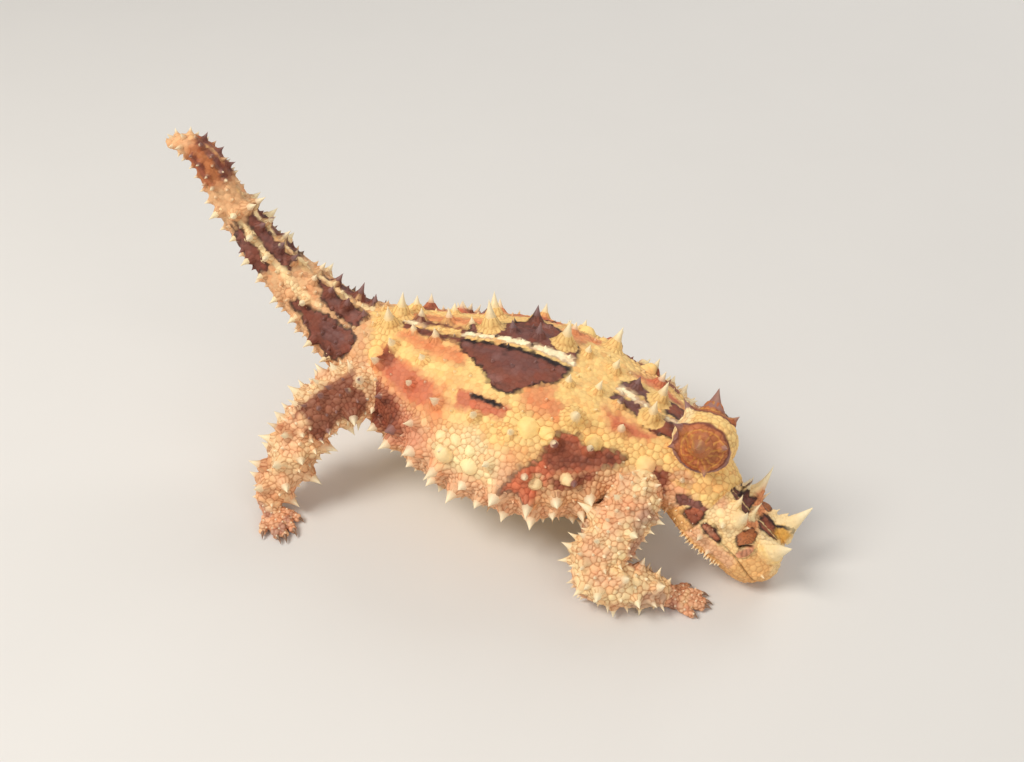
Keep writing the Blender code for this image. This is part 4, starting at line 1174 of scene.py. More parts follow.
def spines_on(spines, group, tube, rows, span, room, rng):
    """Spines in lengthwise rows on both sides, at the places of the packed solids' spines."""
    for angle, first, last, spacing, length, radius, pattern in rows:
        count = max(1, round((tube.at(last) - tube.at(first)) / spacing) + 1)
        for n, s in enumerate(np.linspace(tube.at(first), tube.at(last), count)):
            for side in (-1, 1) if angle else (1,):
                size = pattern[n % len(pattern)] * rng.uniform(0.9, 1.1)
                s_here = s + rng.uniform(-0.12, 0.12) * spacing
                a_here = side * math.radians(angle + rng.uniform(-2.0, 2.0))
                if not span[0] + 1.3 * radius < s_here < span[1] - 1.3 * radius:
                    continue
                root, out = tube.spot(s_here, a_here)
                tip = root + out * length * size
                x, degrees = tube.x_of(s_here), math.degrees(a_here)
                if any(a < x < b and c < degrees < d for a, b, c, d in BARE):
                    continue
                if room.clear(root, tip) and tip[2] > 0.6:
                    spines.add(group, root, out, length * size, radius * (0.55 + 0.45 * size))


def spines_round(spines, group, tube, span, room, rng, spacing=3.3, length=2.0, radius=0.85):
    """Spines round a limb, in staggered rings, at the places of the packed solids' spines."""
    count = max(1, round((span[1] - span[0]) / spacing))
    for n in range(count):
        s = span[0] + (n + 0.5) * (span[1] - span[0]) / count
        for k, angle in enumerate(LIMB_ANGLES):
            if (n + k) % 2:
                continue
            a = math.radians(angle + rng.uniform(-8, 8))
            size = rng.uniform(0.75, 1.25)
            root, out = tube.spot(s, a)
            tip = root + out * length * size
            if room.clear(root, tip) and tip[2] > 0.6 and root[2] > 0.9:
                spines.add(group, root, out, length * size, radius * size)


def main_spines():
    """The spines that the packed solids have too, drawn in the same order."""
    rng = random.Random(SEED)
    spines = Spines()
    half = 0.15  # half the gap at a joint
    cuts = [BODY_TUBE.at(x) for x in TAIL_CUTS]
    neck = BODY_TUBE.at(NECK_CUT)
    roots = [(limb, 3.0, limb.length) for limb in LIMB_TUBES.values()]
    room = Keepout(roots)
    spines_on(spines, "trunk", BODY_TUBE, TRUNK_ROWS, (cuts[2] + half, neck - half), room, rng)
    spines_on(spines, "tail", BODY_TUBE, TAIL_ROWS, (cuts[1] + half, cuts[2] - half), room, rng)
    spines_on(spines, "tail", BODY_TUBE, TAIL_ROWS, (cuts[0] + half, cuts[1] - half), room, rng)
    spines_on(spines, "tail", BODY_TUBE, TIP_ROWS, (0.0, cuts[0] - half), room, rng)
    head_room = Keepout([*roots, (HEAD_TUBE, 1.0, HEAD_TUBE.length)])
    spines_on(spines, "head", BODY_TUBE, NECK_ROWS, (neck, BODY_TUBE.length - 4), head_room, rng)
    for side in (-1, 1):
        for along, out, up, length, radius in KNOB_THORNS:
            local = unit(np.array((along, side * out, up)))
            reach = 1 / math.sqrt(np.sum((local / KNOB_RADII) ** 2))
            way = KNOB_FRAME @ local
            spines.add("knob", KNOB_AT + way * reach, way, length * rng.uniform(0.95, 1.05), radius)
    for side in (-1, 1):
        for along, angle, length, radius, *lean in HEAD_THORNS:
            s, a = HEAD_TUBE.at(along), side * math.radians(angle)
            bend = HEAD_TUBE.turned(np.array((lean[0], side * lean[1], lean[2])))
            size = rng.uniform(0.94, 1.06)
            spines.add("head", *HEAD_TUBE.spot(s, a), length * size, radius, bend)
        angle, first, last, spacing, length, radius = JAW_FRINGE
        for n in range(int((last - first) / spacing) + 1):
            s, a = HEAD_TUBE.at(first + n * spacing), side * math.radians(angle)
            root, out = HEAD_TUBE.spot(s, a)
            back = HEAD_TUBE.turned(np.array((-0.3, 0, 0)))
            spines.add("head", root, unit(out + back), length * rng.uniform(0.8, 1.2), radius)
    for side in ("right", "left"):
        for upper, lower in (("upper_arm", "forearm"), ("thigh", "shin")):
            tubes = LIMB_TUBES[f"{side}_{upper}"], LIMB_TUBES[f"{side}_{lower}"]
            below = Keepout([(tubes[1], 0.0, tubes[1].length)])
            spines_round(spines, "limbs", tubes[0], (6.0, tubes[0].length - 1.2), below, rng)
            spines_round(spines, "limbs", tubes[1], (2.6, tubes[1].length - 1.2), Keepout([]), rng)
    return spines


def spine_radius(share, radius, foot):
    """Width of a spine at a share of its height: straight up to the foot, then narrowing to a point."""
    return radius * (1 - np.sqrt(np.clip(share, foot, 1)))


# Settings of the pieces

def colour_setting(name, description, default):
    """A colour that the panel shows."""
    return FloatVectorProperty(
        name=name, description=description, default=default, subtype="COLOR", size=3, min=0.0, max=1.0)


class SkinSettings(bpy.types.PropertyGroup):
    """Sizes of the skin and its scales."""
    grain: FloatProperty(
        name="Grain", description="Width of the smallest facet of the skin, in millimetres", default=0.2,
        min=0.1, max=1.0)
    dome: FloatProperty(
        name="Scale height", description="Height of a scale as a share of its radius", default=USUAL_DOME,
        min=0.0, max=1.0, subtype="FACTOR")
    # Colour of the skin between the scales, which also stands in for the shade in the grooves
    groove_tint_and_shade: colour_setting("Groove", "Tint between the scales", (0.50, 0.27, 0.16))


class SpineSettings(bpy.types.PropertyGroup):
    """Sizes and colours of the spines."""
    foot: FloatProperty(
        name="Foot", description="Width of a spine's foot as a share of the solid's", default=1.55, min=1.0,
        max=3.0)
    tip: colour_setting("Tip", "Colour of the spines' tips", (0.95, 0.83, 0.56))
    dark_tip: colour_setting("Dark tip", "Colour of the tips in the dark patches", (0.30, 0.19, 0.19))


class EyeSettings(bpy.types.PropertyGroup):
    """Size and colour of the eyes."""
    radius: FloatProperty(
        name="Radius", description="Radius of the eyeball", default=EYE_RADIUS * MM, unit="LENGTH",
        min=0.0005)
    colour: colour_setting("Colour", "Colour of the eye", (0.02, 0.011, 0.006))


class ClawSettings(bpy.types.PropertyGroup):
    """Size and colour of the claws."""
    width: FloatProperty(
        name="Width", description="Radius of a claw's root, in millimetres", default=0.52, min=0.1, max=2.0)
    colour: colour_setting("Colour", "Colour of the claws", (0.22, 0.12, 0.07))


class StageSettings(bpy.types.PropertyGroup):
    """The floor, the lamps and the camera."""
    floor: colour_setting("Floor", "Colour of the floor", (0.72, 0.70, 0.67))
    lamp: FloatProperty(
        name="Lamp", description="Strength of the main lamp", default=0.9, unit="POWER", min=0.0)
    sky: FloatProperty(name="Sky", description="Strength of the light from all round", default=0.36, min=0.0)
    lens: FloatProperty(name="Lens", description="Focal length", default=46.89, unit="CAMERA", min=10.0)


# Shader building

class Wire:
    """A socket on which sums are written as Python expressions."""

    def __init__(self, sheet, socket):
        self.sheet, self.socket = sheet, socket

    def __add__(self, other):
        return self.sheet.math("ADD", self, other)

    __radd__ = __add__

    def __sub__(self, other):
        return self.sheet.math("SUBTRACT", self, other)

    def __rsub__(self, other):
        return self.sheet.math("SUBTRACT", other, self)

    def __mul__(self, other):
        return self.sheet.math("MULTIPLY", self, other)

    def __pow__(self, other):
        return self.sheet.math("POWER", self, other)

    def clipped(self):
        """The number kept from 0 to 1."""
        return self.sheet.node("ShaderNodeClamp", values={0: self})


class Sheet:
    """A material's nodes."""

    def __init__(self, name):
        self.material = bpy.data.materials.new(name)
        self.material.use_nodes = True
        self.tree = self.material.node_tree
        self.shader = self.tree.nodes["Principled BSDF"]

    def node(self, kind, settings=None, values=None, out=0):
        """One of the outputs of a new node with its settings and inputs."""
        made = self.tree.nodes.new(kind)
        for key, value in (settings or {}).items():
            setattr(made, key, value)
        self.feed(made, values or {})
        return Wire(self, made.outputs[out])

    def feed(self, node, values):
        """Joins or sets a node's inputs."""
        for key, value in values.items():
            socket = node.inputs[key]
            if isinstance(value, Wire):
                self.tree.links.new(value.socket, socket)
            elif socket.type == "RGBA":
                socket.default_value = (*value, 1.0)
            else:
                socket.default_value = value

    def math(self, operation, *values):
        """A sum of numbers that vary."""
        return self.node("ShaderNodeMath", {"operation": operation}, dict(enumerate(values)))

    def mix(self, share, first, second, blend="MIX"):
        """Two colours mixed by a share."""
        settings = {"data_type": "RGBA", "blend_type": blend, "clamp_factor": True}
        return self.node("ShaderNodeMix", settings, {0: share, 6: first, 7: second}, out=2)

    def tinted(self, colour, tint):
        """A colour multiplied by a tint."""
        return self.mix(1.0, colour, tint, "MULTIPLY")

    def scaled(self, colour, factor):
        """A colour made darker or lighter by a factor that varies."""
        return self.node("ShaderNodeVectorMath", {"operation": "SCALE"}, {0: colour, "Scale": factor})

    def attribute(self, name, out="Color"):
        """What the mesh carries at each point."""
        return self.node("ShaderNodeAttribute", {"attribute_name": name}, out=out)

    def place(self):
        """The place on the object."""
        return self.node("ShaderNodeTexCoord", out="Object")

    def noise(self, scale, detail=4.0, rough=0.55):
        """Smooth noise from 0 to 1."""
        values = {"Vector": self.place(), "Scale": scale, "Detail": detail, "Roughness": rough}
        return self.node("ShaderNodeTexNoise", values=values)

    def cells(self, scale):
        """Distance from the middles of scattered cells."""
        values = {"Vector": self.place(), "Scale": scale}
        return self.node("ShaderNodeTexVoronoi", values=values, out="Distance")

    def bump(self, height, distance, strength=1.0):
        """Normals of a height that is too fine for the mesh."""
        values = {"Height": height, "Distance": distance, "Strength": strength}
        return self.node("ShaderNodeBump", values=values)

    def finish(self, **values):
        """Feeds the shader and gives the material."""
        names = {
            "colour": "Base Color", "rough": "Roughness", "normal": "Normal", "coat": "Coat Weight",
            "coat_rough": "Coat Roughness", "specular": "Specular IOR Level"}
        self.feed(self.shader, {names[key]: value for key, value in values.items()})
        return self.material


def skin_finish(groove_tint_and_shade):
    """Dry scaly skin: the markings, with warm grooves whose tint is partly the skin's own colour and partly
    painted shade, a fine mottle and pores.
    """
    sheet = Sheet("scaly_skin")
    top = sheet.attribute("dome", "Fac")
    mottle = sheet.noise(1400.0, 5.0, 0.6)
    grains = sheet.cells(3200.0)
    patchy = sheet.noise(260.0, 3.0)
    base = sheet.scaled(sheet.attribute("markings"), 0.80 + mottle * 0.28 + patchy * 0.16)
    warm = sheet.mix((patchy - 0.45).clipped() * 0.9, base, sheet.tinted(base, (1.0, 0.80, 0.62)))
    # The tint between the scales is partly their own orange-brown and partly painted shade, darkest deep in
    # the grooves
    body = sheet.mix((1.0 - top) ** 1.2, warm, sheet.tinted(warm, groove_tint_and_shade))
    return sheet.finish(
        colour=body, rough=0.70 - top * 0.16 + mottle * 0.12, specular=0.4,
        normal=sheet.bump(mottle * 0.5 + grains * 0.55, 0.00006, 0.6))


def spine_finish():
    """Horny spine: the markings under fine grain, darker at its foot and smoother towards its tip."""
    if "horny_spine" in bpy.data.materials:
        return bpy.data.materials["horny_spine"]
    sheet = Sheet("horny_spine")
    share = sheet.attribute("height", "Fac")
    mottle = sheet.noise(1800.0, 5.0, 0.6)
    grain = sheet.cells(2600.0)
    base = sheet.scaled(sheet.attribute("markings"), 0.84 + mottle * 0.30)
    # Darker towards its foot, in flecks that follow the grain
    foot_darkening = ((1.0 - share) ** 3.0) * (0.75 - grain).clipped() * 0.5
    foot = sheet.mix(foot_darkening, base, sheet.tinted(base, (0.66, 0.40, 0.26)))
    return sheet.finish(
        colour=foot, rough=0.58 - share * 0.20 + mottle * 0.1, specular=0.45,
        normal=sheet.bump(mottle * 0.5 + grain * (1.0 - share) * 0.8, 0.00006, 0.55))


def claw_finish(colour):
    """Dark horn with pale streaks."""
    sheet = Sheet("claw_horn")
    streak = sheet.noise(1500.0, 4.0)
    pale = tuple(min(1.0, c * 2.6 + 0.05) for c in colour)
    base = sheet.mix((streak - 0.42).clipped() * 1.6, colour, pale)
    return sheet.finish(colour=base, rough=0.28 + streak * 0.2, normal=sheet.bump(streak, 0.00004, 0.5))


def eye_finish(colour):
    """Moist dark eye with a brown iris under a clear coat."""
    sheet = Sheet("moist_eye")
    fibres = sheet.noise(2400.0, 5.0)
    lighter = tuple(c * 3.5 + 0.01 for c in colour)
    return sheet.finish(
        colour=sheet.mix(fibres * 0.6, colour, lighter), rough=0.08 + fibres * 0.06,
        normal=sheet.bump(fibres, 0.00002, 0.2), coat=1.0, coat_rough=0.03)


def floor_finish(colour):
    """Plain pale floor with the faintest mottle."""
    sheet = Sheet("pale_floor")
    mottle = sheet.noise(30.0, 3.0)
    return sheet.finish(colour=sheet.scaled(colour, 0.985 + mottle * 0.03), rough=0.85)


# The unwrap that the skin and all that grows from it share, in millimetres of a square sheet

SHEET_SIDE = 204.0
LIMB_CELL, PAW_CELL = 33.0, 20.0  # room kept for a length of a limb and for a paw
TUBE_END = 0.6  # how far from a tube's end its rounded cap counts
ROOT_PATCH = 0.0015  # half the width of a spine's patch, as a share of the sheet
HORN_SHEET = 24.0  # side of the sheet of a brow horn


def tube_places(name, surface, index):
    """Place along, angle and radius of points in a tube's region, with its caps unrolled past its ends."""
    tube = TUBES[name]
    s, angle = surface.s[name][index], surface.angle[name][index]
    sizes = tube.frame(s)[4]
    radius = (sizes[:, 0] * 2 + sizes[:, 1] + sizes[:, 2]) / 4
    inwards = np.clip(-surface.gaps[NUMBER[name]][index], 0, radius)
    s = np.where(s > tube.length - TUBE_END, s + inwards, np.where(s < TUBE_END, s - inwards, s))
    return s, angle, radius


def sheet_corner(name):
    """Where the region's part of the sheet has its middle line and its start."""
    if name == "body":
        return 4.0, 58.0
    if name == "head":
        return 164.0, 24.0
    if name in LIMB_TUBES:
        n = list(LIMB_TUBES).index(name)
        return 4.0 + (n % 4) * LIMB_CELL, 136.0 + (n // 4) * LIMB_CELL
    if name == "knob":
        return 176.0, 62.0
    n = list(PAWS).index(name)
    return 148.0 + (n % 2) * 2 * PAW_CELL * 0.7, 90.0 + (n // 2) * PAW_CELL * 1.4


def sheet_places(name, surface, index, normals, reference=None):
    """UV of points in one region; reference holds the angle, or the side of a paw, of each point's face."""
    u0, v0 = sheet_corner(name)
    if name in TUBES:
        s, angle, radius = tube_places(name, surface, index)
        if reference is not None:
            angle = angle + math.tau * np.round((reference - angle) / math.tau)
        across, upward = s, angle * radius
    elif name == "knob":
        way = surface.knob[index]
        far = np.arccos(np.clip(way[:, 2], -1, 1)) * KNOB_RADII[2]
        flat = unit(way * (1, 1, 0))
        across, upward = flat[:, 0] * far, flat[:, 1] * far
    else:
        palm_middle = PAW_BONES[name][0][0][0][1]
        flat = (surface.points[index] - palm_middle) * 0.9
        low = normals[index, 2] < -0.2 if reference is None else reference
        across, upward = flat[:, 0], flat[:, 1] + low * PAW_CELL * 0.7
    return np.stack([u0 + across, v0 + upward], axis=1) / SHEET_SIDE


def skin_unwrap(surface, faces, normals):
    """UV at each corner of each face, cut along the belly and where the limbs meet the trunk."""
    uv = np.zeros((len(faces), 3, 2))
    owner = surface.region[faces[:, 0]]
    for name in REGIONS:
        here = np.flatnonzero(owner == NUMBER[name])
        if not len(here):
            continue
        corners = faces[here]
        if name in TUBES:
            reference = np.repeat(surface.angle[name][corners[:, 0]], 3)
        elif name == "knob":
            reference = None
        else:
            reference = np.repeat(normals[corners].mean(axis=1)[:, 2] < -0.2, 3)
        uv[here] = sheet_places(name, surface, corners.ravel(), normals, reference).reshape(-1, 3, 2)
    return uv.reshape(-1, 2)


def add_unwrap(mesh, uv):
    """Gives each corner of the mesh its place on the sheet."""
    layer = mesh.uv_layers.new(name="OFBake")
    layer.data.foreach_set("uv", np.ascontiguousarray(uv, np.float32).ravel())


def add_colour(mesh, name, colours):
    """Gives each point of the mesh a colour."""
    layer = mesh.attributes.new(name, "FLOAT_COLOR", "POINT")
    full = np.concatenate([np.clip(colours, 0, 1), np.ones((len(colours), 1))], axis=1)
    layer.data.foreach_set("color", np.ascontiguousarray(full, np.float32).ravel())


def add_number(mesh, name, values):
    """Gives each point of the mesh a number."""
    layer = mesh.attributes.new(name, "FLOAT", "POINT")
    layer.data.foreach_set("value", np.ascontiguousarray(values, np.float32))


# Scales

def kd_of(points):
    """A tree that finds the points near a place."""
    tree = KDTree(len(points))
    for n, point in enumerate(points):
        tree.insert(point, n)
    tree.balance()
    return tree


def within(tree, place, radius):
    """The numbers of the tree's points that lie within the radius of a place."""
    return np.array([row[1] for row in tree.find_range(Vector(place), radius)], int)


class Scales:
    """Centres of scales on the skin, kept apart by their radii."""

    CELL = 1.6  # side of the boxes that the centres are sorted into

    def __init__(self):
        self.centres, self.radii, self.rise, self.grid = [], [], [], {}

    def cell(self, point):
        """The box that a point lies in."""
        return tuple(int(math.floor(c / self.CELL)) for c in point)

    def free(self, point, radius, pack):
        """Whether a scale has room there, where pack is the share of the radii that counts."""
        reach = 2 if radius > 1.2 else 1
        for cell in itertools.product(*(range(c - reach, c + reach + 1) for c in self.cell(point))):
            for n in self.grid.get(cell, ()):
                x, y, z = self.centres[n]
                far = (x - point[0]) ** 2 + (y - point[1]) ** 2 + (z - point[2]) ** 2
                if far < ((radius + self.radii[n]) * pack) ** 2:
                    return False
        return True

    def add(self, point, radius, rise):
        """Adds a scale with its height as a share of its radius."""
        point = tuple(float(c) for c in point)
        self.grid.setdefault(self.cell(point), []).append(len(self.centres))
        self.centres.append(point)
        self.radii.append(radius)
        self.rise.append(rise)


def scale_sizes(surface, s, angle, points):
    """The usual radius and height of a scale at each point of the skin."""
    degrees = np.abs(np.degrees(angle))
    x = s.copy()
    for name in ("body", "head"):
        here = surface.region == NUMBER[name]
        x[here] = TUBES[name].x_of(s[here])
    size, rise = np.full(len(points), 0.48), np.full(len(points), 0.4)
    for region, x_low, x_high, low, high, radius, height in SCALE_ZONES:
        here = (surface.region == NUMBER[region]) & (x > x_low) & (x < x_high)
        here &= (degrees >= low) & (degrees < high)
        size[here], rise[here] = radius, height
    size[surface.region > NUMBER["knob"]] = 0.35
    return size * (1 + 0.2 * noise(points, 3.0, 51) + 0.1 * noise(points, 1.1, 52)), rise


SCALE_PASSES = ((0.035, 1.5, 0.96), (0.12, 1.08, 0.95), (0.4, 0.78, 0.93))  # share of places, size, packing


def scale_rings(plan, spines):
    """Puts the domes and the spines' feet in the plan, and gives those that rings of scales go round."""
    rings = []
    for tube, rows in ((BODY_TUBE, DOMES), (HEAD_TUBE, HEAD_DOMES)):
        for x, degrees, radius, rise in rows:
            for side in (-1, 1):
                root, out = tube.spot(tube.at(x), side * math.radians(degrees))
                plan.add(root, radius, rise / radius)
                rings.append((root, out, radius))
    _, roots, ways, _, _, radii = spines.table()
    for root, way, radius in zip(roots, ways, radii):
        if plan.free(root, radius * 0.3, 0.7):
            plan.add(root, radius * 0.3, 0.1)
            if radius > 0.8:
                rings.append((root, way, radius * 0.55))
    return sorted(rings, key=lambda row: -row[2])


def ring_spots(root, way, radius, rng):
    """The size of the scales round a dome or foot, and where each of them stands."""
    side, other = squares_to(way[None])
    small = min(0.62, max(0.3, radius * 0.42))
    for ring in range(2 if radius > 0.9 else 1):
        far = radius + small * (1.0 + 1.9 * ring)
        count = max(5, round(math.tau * far / (small * 2.05)))
        turn = rng.uniform(0, math.tau)
        for k in range(count):
            a = turn + math.tau * k / count
            yield small, root + (side[0] * math.cos(a) + other[0] * math.sin(a)) * far


def scale_plan(points, tree, surface, s, angle, spines):
    """Centres, radii and heights of all scales: rings round domes and spines, then ever smaller ones."""
    rng = random.Random(SEED + 1)
    plan = Scales()
    usual, heights = scale_sizes(surface, s, angle, points)
    for root, way, radius in scale_rings(plan, spines):
        for small, spot in ring_spots(root, way, radius, rng):
            place, index, gap = tree.find(spot)
            size = small * rng.uniform(0.9, 1.1)
            if gap < 1.6 and plan.free(place, size, 0.84):
                plan.add(place, size, max(0.34, heights[index]))
    order = list(range(len(points)))
    rng.shuffle(order)
    for share, factor, pack in SCALE_PASSES:
        for index in order[: int(len(order) * share)]:
            size = usual[index] * factor * (0.88 + 0.24 * rng.random())
            if plan.free(points[index], size, pack):
                plan.add(points[index], size, heights[index])
    return plan


def scaly(points, plan):
    """For each point: its scale, how far it is from the scale's edge, and the scale's radius."""
    centres, radii = np.array(plan.centres), np.array(plan.radii)
    tree = kd_of(centres)
    near = np.array([[row[1] for row in tree.find_n(point, 6)] for point in points])
    gaps = np.linalg.norm(centres[near] - points[:, None], axis=2) - radii[near] * 0.92
    order = np.argsort(gaps, axis=1)
    rows = np.arange(len(points))
    first, second = order[:, 0], order[:, 1]
    edge = (gaps[rows, second] - gaps[rows, first]) / 2
    owner = near[rows, first]
    return owner, edge, radii[owner]


# Forms of the head that are pressed into its skin

HEAD_DEGREE = 0.115  # millimetres of skin for a degree round the head, where lines are drawn on it
HOLES = ((NOSTRIL, 0.42, 0.5, 0.12), (EAR, 0.95, 0.34, 0.1))  # place, radius, depth and height of the rim


def head_forms(points, surface):
    """Height that mouth, folds, nostrils and ears add to each point, and how much they calm its scales."""
    lift, calm = np.zeros(len(points)), np.zeros(len(points))
    here = np.flatnonzero(surface.region == NUMBER["head"])
    s = surface.s["head"][here]
    degrees = np.degrees(surface.angle["head"][here])
    flat = np.stack([HEAD_TUBE.x_of(s), -np.abs(degrees) * HEAD_DEGREE], axis=1)
    run = np.linspace(0, 1, 14)
    mouth = np.stack([
        MOUTH_CORNER * (1 - run) + HEAD[-1][0] * run,
        -(MOUTH_ANGLE + (MOUTH_FRONT - MOUTH_ANGLE) * run**2) * HEAD_DEGREE], axis=1)
    gap, share = from_line(flat, mouth)
    part = np.where(s >= HEAD_TUBE.length, 0.0, 1.0)
    press = 0.42 * bell(gap, 0.2) - 0.16 * bell(gap - 0.55, 0.3)
    lift[here] -= press * smooth_step(0.0, 0.06, share) * part
    calm[here] = np.maximum(calm[here], bell(gap, 0.75) * part)
    for depth, width, line in HEAD_FOLDS:
        gap, share = from_line(flat, np.array(line, float) * (1, HEAD_DEGREE))
        ends = smooth_step(0, 0.15, share) * smooth_step(1, 0.85, share)
        lift[here] -= depth * (bell(gap, width) - 0.35 * bell(gap - width * 2.6, width * 1.4)) * ends
    for (along, turn), radius, depth, rim in HOLES:
        for side in (-1, 1):
            centre = HEAD_TUBE.point(HEAD_TUBE.at(along), side * math.radians(turn))[0]
            far = np.linalg.norm(points[here] - centre, axis=1)
            lift[here] += rim * bell(far - radius * 1.35, radius * 0.45)
            lift[here] -= depth * np.exp(-((far / radius) ** 3))
            calm[here] = np.maximum(calm[here], np.exp(-((far / (radius * 1.1)) ** 4)))
    return lift, calm


def lid_forms(points):
    """Height of the lids' rims, folds and slit, and shares of the slit, the lids and the shade painted into
    the folds' troughs.
    """
    lift, slit_mask, lid_mask, painted_furrow_shade = np.zeros((4, len(points)))
    for side in (-1, 1):
        out, along, across = eye_axes(side)
        away = points - eye_centre(side)
        here = (np.linalg.norm(away, axis=1) < LID_RADIUS + 1.2) & (away @ out > 0.3)
        spot = unit(away[here]) * LID_RADIUS
        a, b = spot @ along, spot @ across
        curve = b + 0.14 * a * a - 0.1
        ends = smooth_step(1.75, 1.15, np.abs(a))
        slit = bell(curve, 0.17) * ends
        rims = bell(np.abs(curve) - 0.42, 0.16) * ends
        edge = smooth_step(2.35, 1.9, np.hypot(a, b))
        folds = np.sin(np.arctan2(b - 2.2, a) * 26 + a * 0.6) * edge * smooth_step(0.3, 0.8, np.abs(curve))
        lift[here] += 0.14 * rims + 0.05 * folds - 0.95 * slit
        for mask, values in ((painted_furrow_shade, -folds), (slit_mask, slit), (lid_mask, edge)):
            mask[here] = np.maximum(mask[here], values)
    return lift, slit_mask, lid_mask, painted_furrow_shade


# Building

MADE = {}  # the spines, which the skin's operator leaves for the others
HEAD_FOOT = 1.2  # width of the feet of the head's spines, in place of the panel's


def mounded(points, tree, spines, foot):
    """The skin drawn up round the feet of the larger spines."""
    rise, way = np.zeros(len(points)), np.zeros((len(points), 3))
    groups, roots, ways, _, lengths, radii = spines.table()
    for group, root, out, length, radius in zip(groups, roots, ways, lengths, radii):
        if radius < 0.5:
            continue
        wide = radius * (foot if group != "head" else HEAD_FOOT)
        index = within(tree, root, wide)
        away = points[index] - root
        flat = np.linalg.norm(away - (away @ out)[:, None] * out, axis=1)
        high = length * np.clip(1 - flat / wide, 0, 1) ** 2.0
        high = np.minimum(high, (0.38 if radius > 0.9 else 0.3) * length)
        better = high > rise[index]
        rise[index[better]] = high[better]
        way[index[better]] = out
    return points + way * rise[:, None]


def base_skin(grain):
    """Points and triangles of the smooth skin, with soft joints between its regions."""
    points, faces = fused(base_shells(), grain)
    edges = edges_of(faces)
    surface = Surface(points)
    second = np.partition(surface.gaps, 1, axis=0)[1] - surface.gaps.min(axis=0)
    joint = smooth_step(2.4, 0.3, second)
    paw = surface.region > NUMBER["knob"]
    points = relaxed(points, edges, 10, np.where(paw, 0.1, 0.3))
    return relaxed(points, edges, 26, joint * np.where(paw, 0.12, 0.5)), faces


def scale_tops(surface, edge, rise, lid, slit):
    """How far each point is out of the grooves between the scales, from 0 to 1."""
    # The grooves darken more round higher scales: painted shade, besides the skin's own colour there
    depth = np.clip(rise / USUAL_DOME, 0.2, 1) ** 1.4
    depth[(surface.region == NUMBER["head"]) | (surface.region == NUMBER["knob"])] = 0.62
    tops = 1 - (1 - np.clip(edge / 0.16, 0, 1)) * depth
    # The slit takes the full tint of the grooves, adding to its painted shade
    return np.maximum(tops, lid * 0.8) * (1 - slit)


def build_skin(settings, foot):
    """The skin's points and faces, its base surface and normals, and its colours and scales' tops."""
    points, faces = base_skin(settings.grain)
    surface = Surface(points)
    s, angle = surface.own()
    normals = normals_of(points, faces)
    tree = kd_of(points)
    spines = all_spines(points, normals, surface, s, angle)
    plan = scale_plan(points, tree, surface, s, angle, spines)
    owner, edge, radius = scaly(points, plan)
    rise = np.array(plan.rise)[owner]
    lids, slit, lid, painted_furrow_shade = lid_forms(points)
    forms, calm = head_forms(points, surface)
    dome = 1 - (1 - np.clip(edge / radius, 0, 1)) ** 2
    height = settings.dome / USUAL_DOME * rise * radius * dome * (1 - 0.85 * calm) * (1 - 0.8 * lid)
    wrinkle = 0.10 * noise(points * (1, 1.6, 1.6), 1.1, 61) + 0.05 * noise(points, 0.5, 62)
    raised = mounded(points, tree, spines, foot)
    out = normals_of(raised, faces)
    final = raised + out * (height + forms + wrinkle * (surface.region != NUMBER["head"]))[:, None]
    final = above_floor(final + normals * lids[:, None])
    cores = np.array([tree.find(centre)[1] for centre in plan.centres])
    colours = skin_colours(surface, s, angle, points, owner, cores, radius, slit)
    colours = pale_feet(colours, points, tree, spines)
    # Painted shade: the skin darkens where the mouth, folds, nostrils and ears press in, and in the troughs
    # of the lids' folds
    colours = colours * (1 - 0.45 * smooth_step(0.06, 0.3, -forms) - 0.4 * painted_furrow_shade)[:, None]
    MADE["spines"] = spines
    return final, faces, surface, normals, colours, scale_tops(surface, edge, rise, lid, slit)


def pale_feet(colours, points, tree, spines):
    """Yellow scutes with lobed edges under the pale spines."""
    groups, roots, _, _, _, radii = spines.table()
    pale = spines.pale() & (groups == "trunk")
    lobes = (cell_gap(points, 0.9, 81) - 0.45) * 0.9
    for root, radius in zip(roots[pale], radii[pale]):
        reach = radius * 1.5
        index = within(tree, root, reach + 1.0)
        gap = np.linalg.norm(points[index] - root, axis=1) - reach - lobes[index]
        colours[index] = toward(colours[index], "yellow", smooth_step(0.12, -0.12, gap) * 0.92)
    return colours


def skin_colours(surface, s, angle, points, owner, cores, radius, slit):
    """Markings that keep to the scales' edges, each scale a little lighter or darker than the next."""
    core = cores[owner]
    head = surface.region == NUMBER["head"]
    snap = np.where(head, 0.3, 0.5) * (surface.region[core] == surface.region)
    along = s + (s[core] - s) * snap
    turned = angle + wrapped(angle[core] - angle) * snap
    colours = marked(surface.region, along, turned, surface.knob, points)
    rng = np.random.default_rng(SEED)
    shade = 1 + 0.06 * rng.standard_normal(len(cores))[owner] + 0.14 * smooth_step(0.5, 1.0, radius)
    warmth = np.clip(rng.standard_normal(len(cores)), 0, 1.6)[owner] * np.where(head, 0.35, 1.0)
    colours = colours * np.clip(shade, 0.8, 1.3)[:, None] * (1 - warmth[:, None] * (0.0, 0.10, 0.14))
    # The slit between the lids is painted nearly black, as painted shade in the gap
    return colours * (1 - 0.93 * slit[:, None])


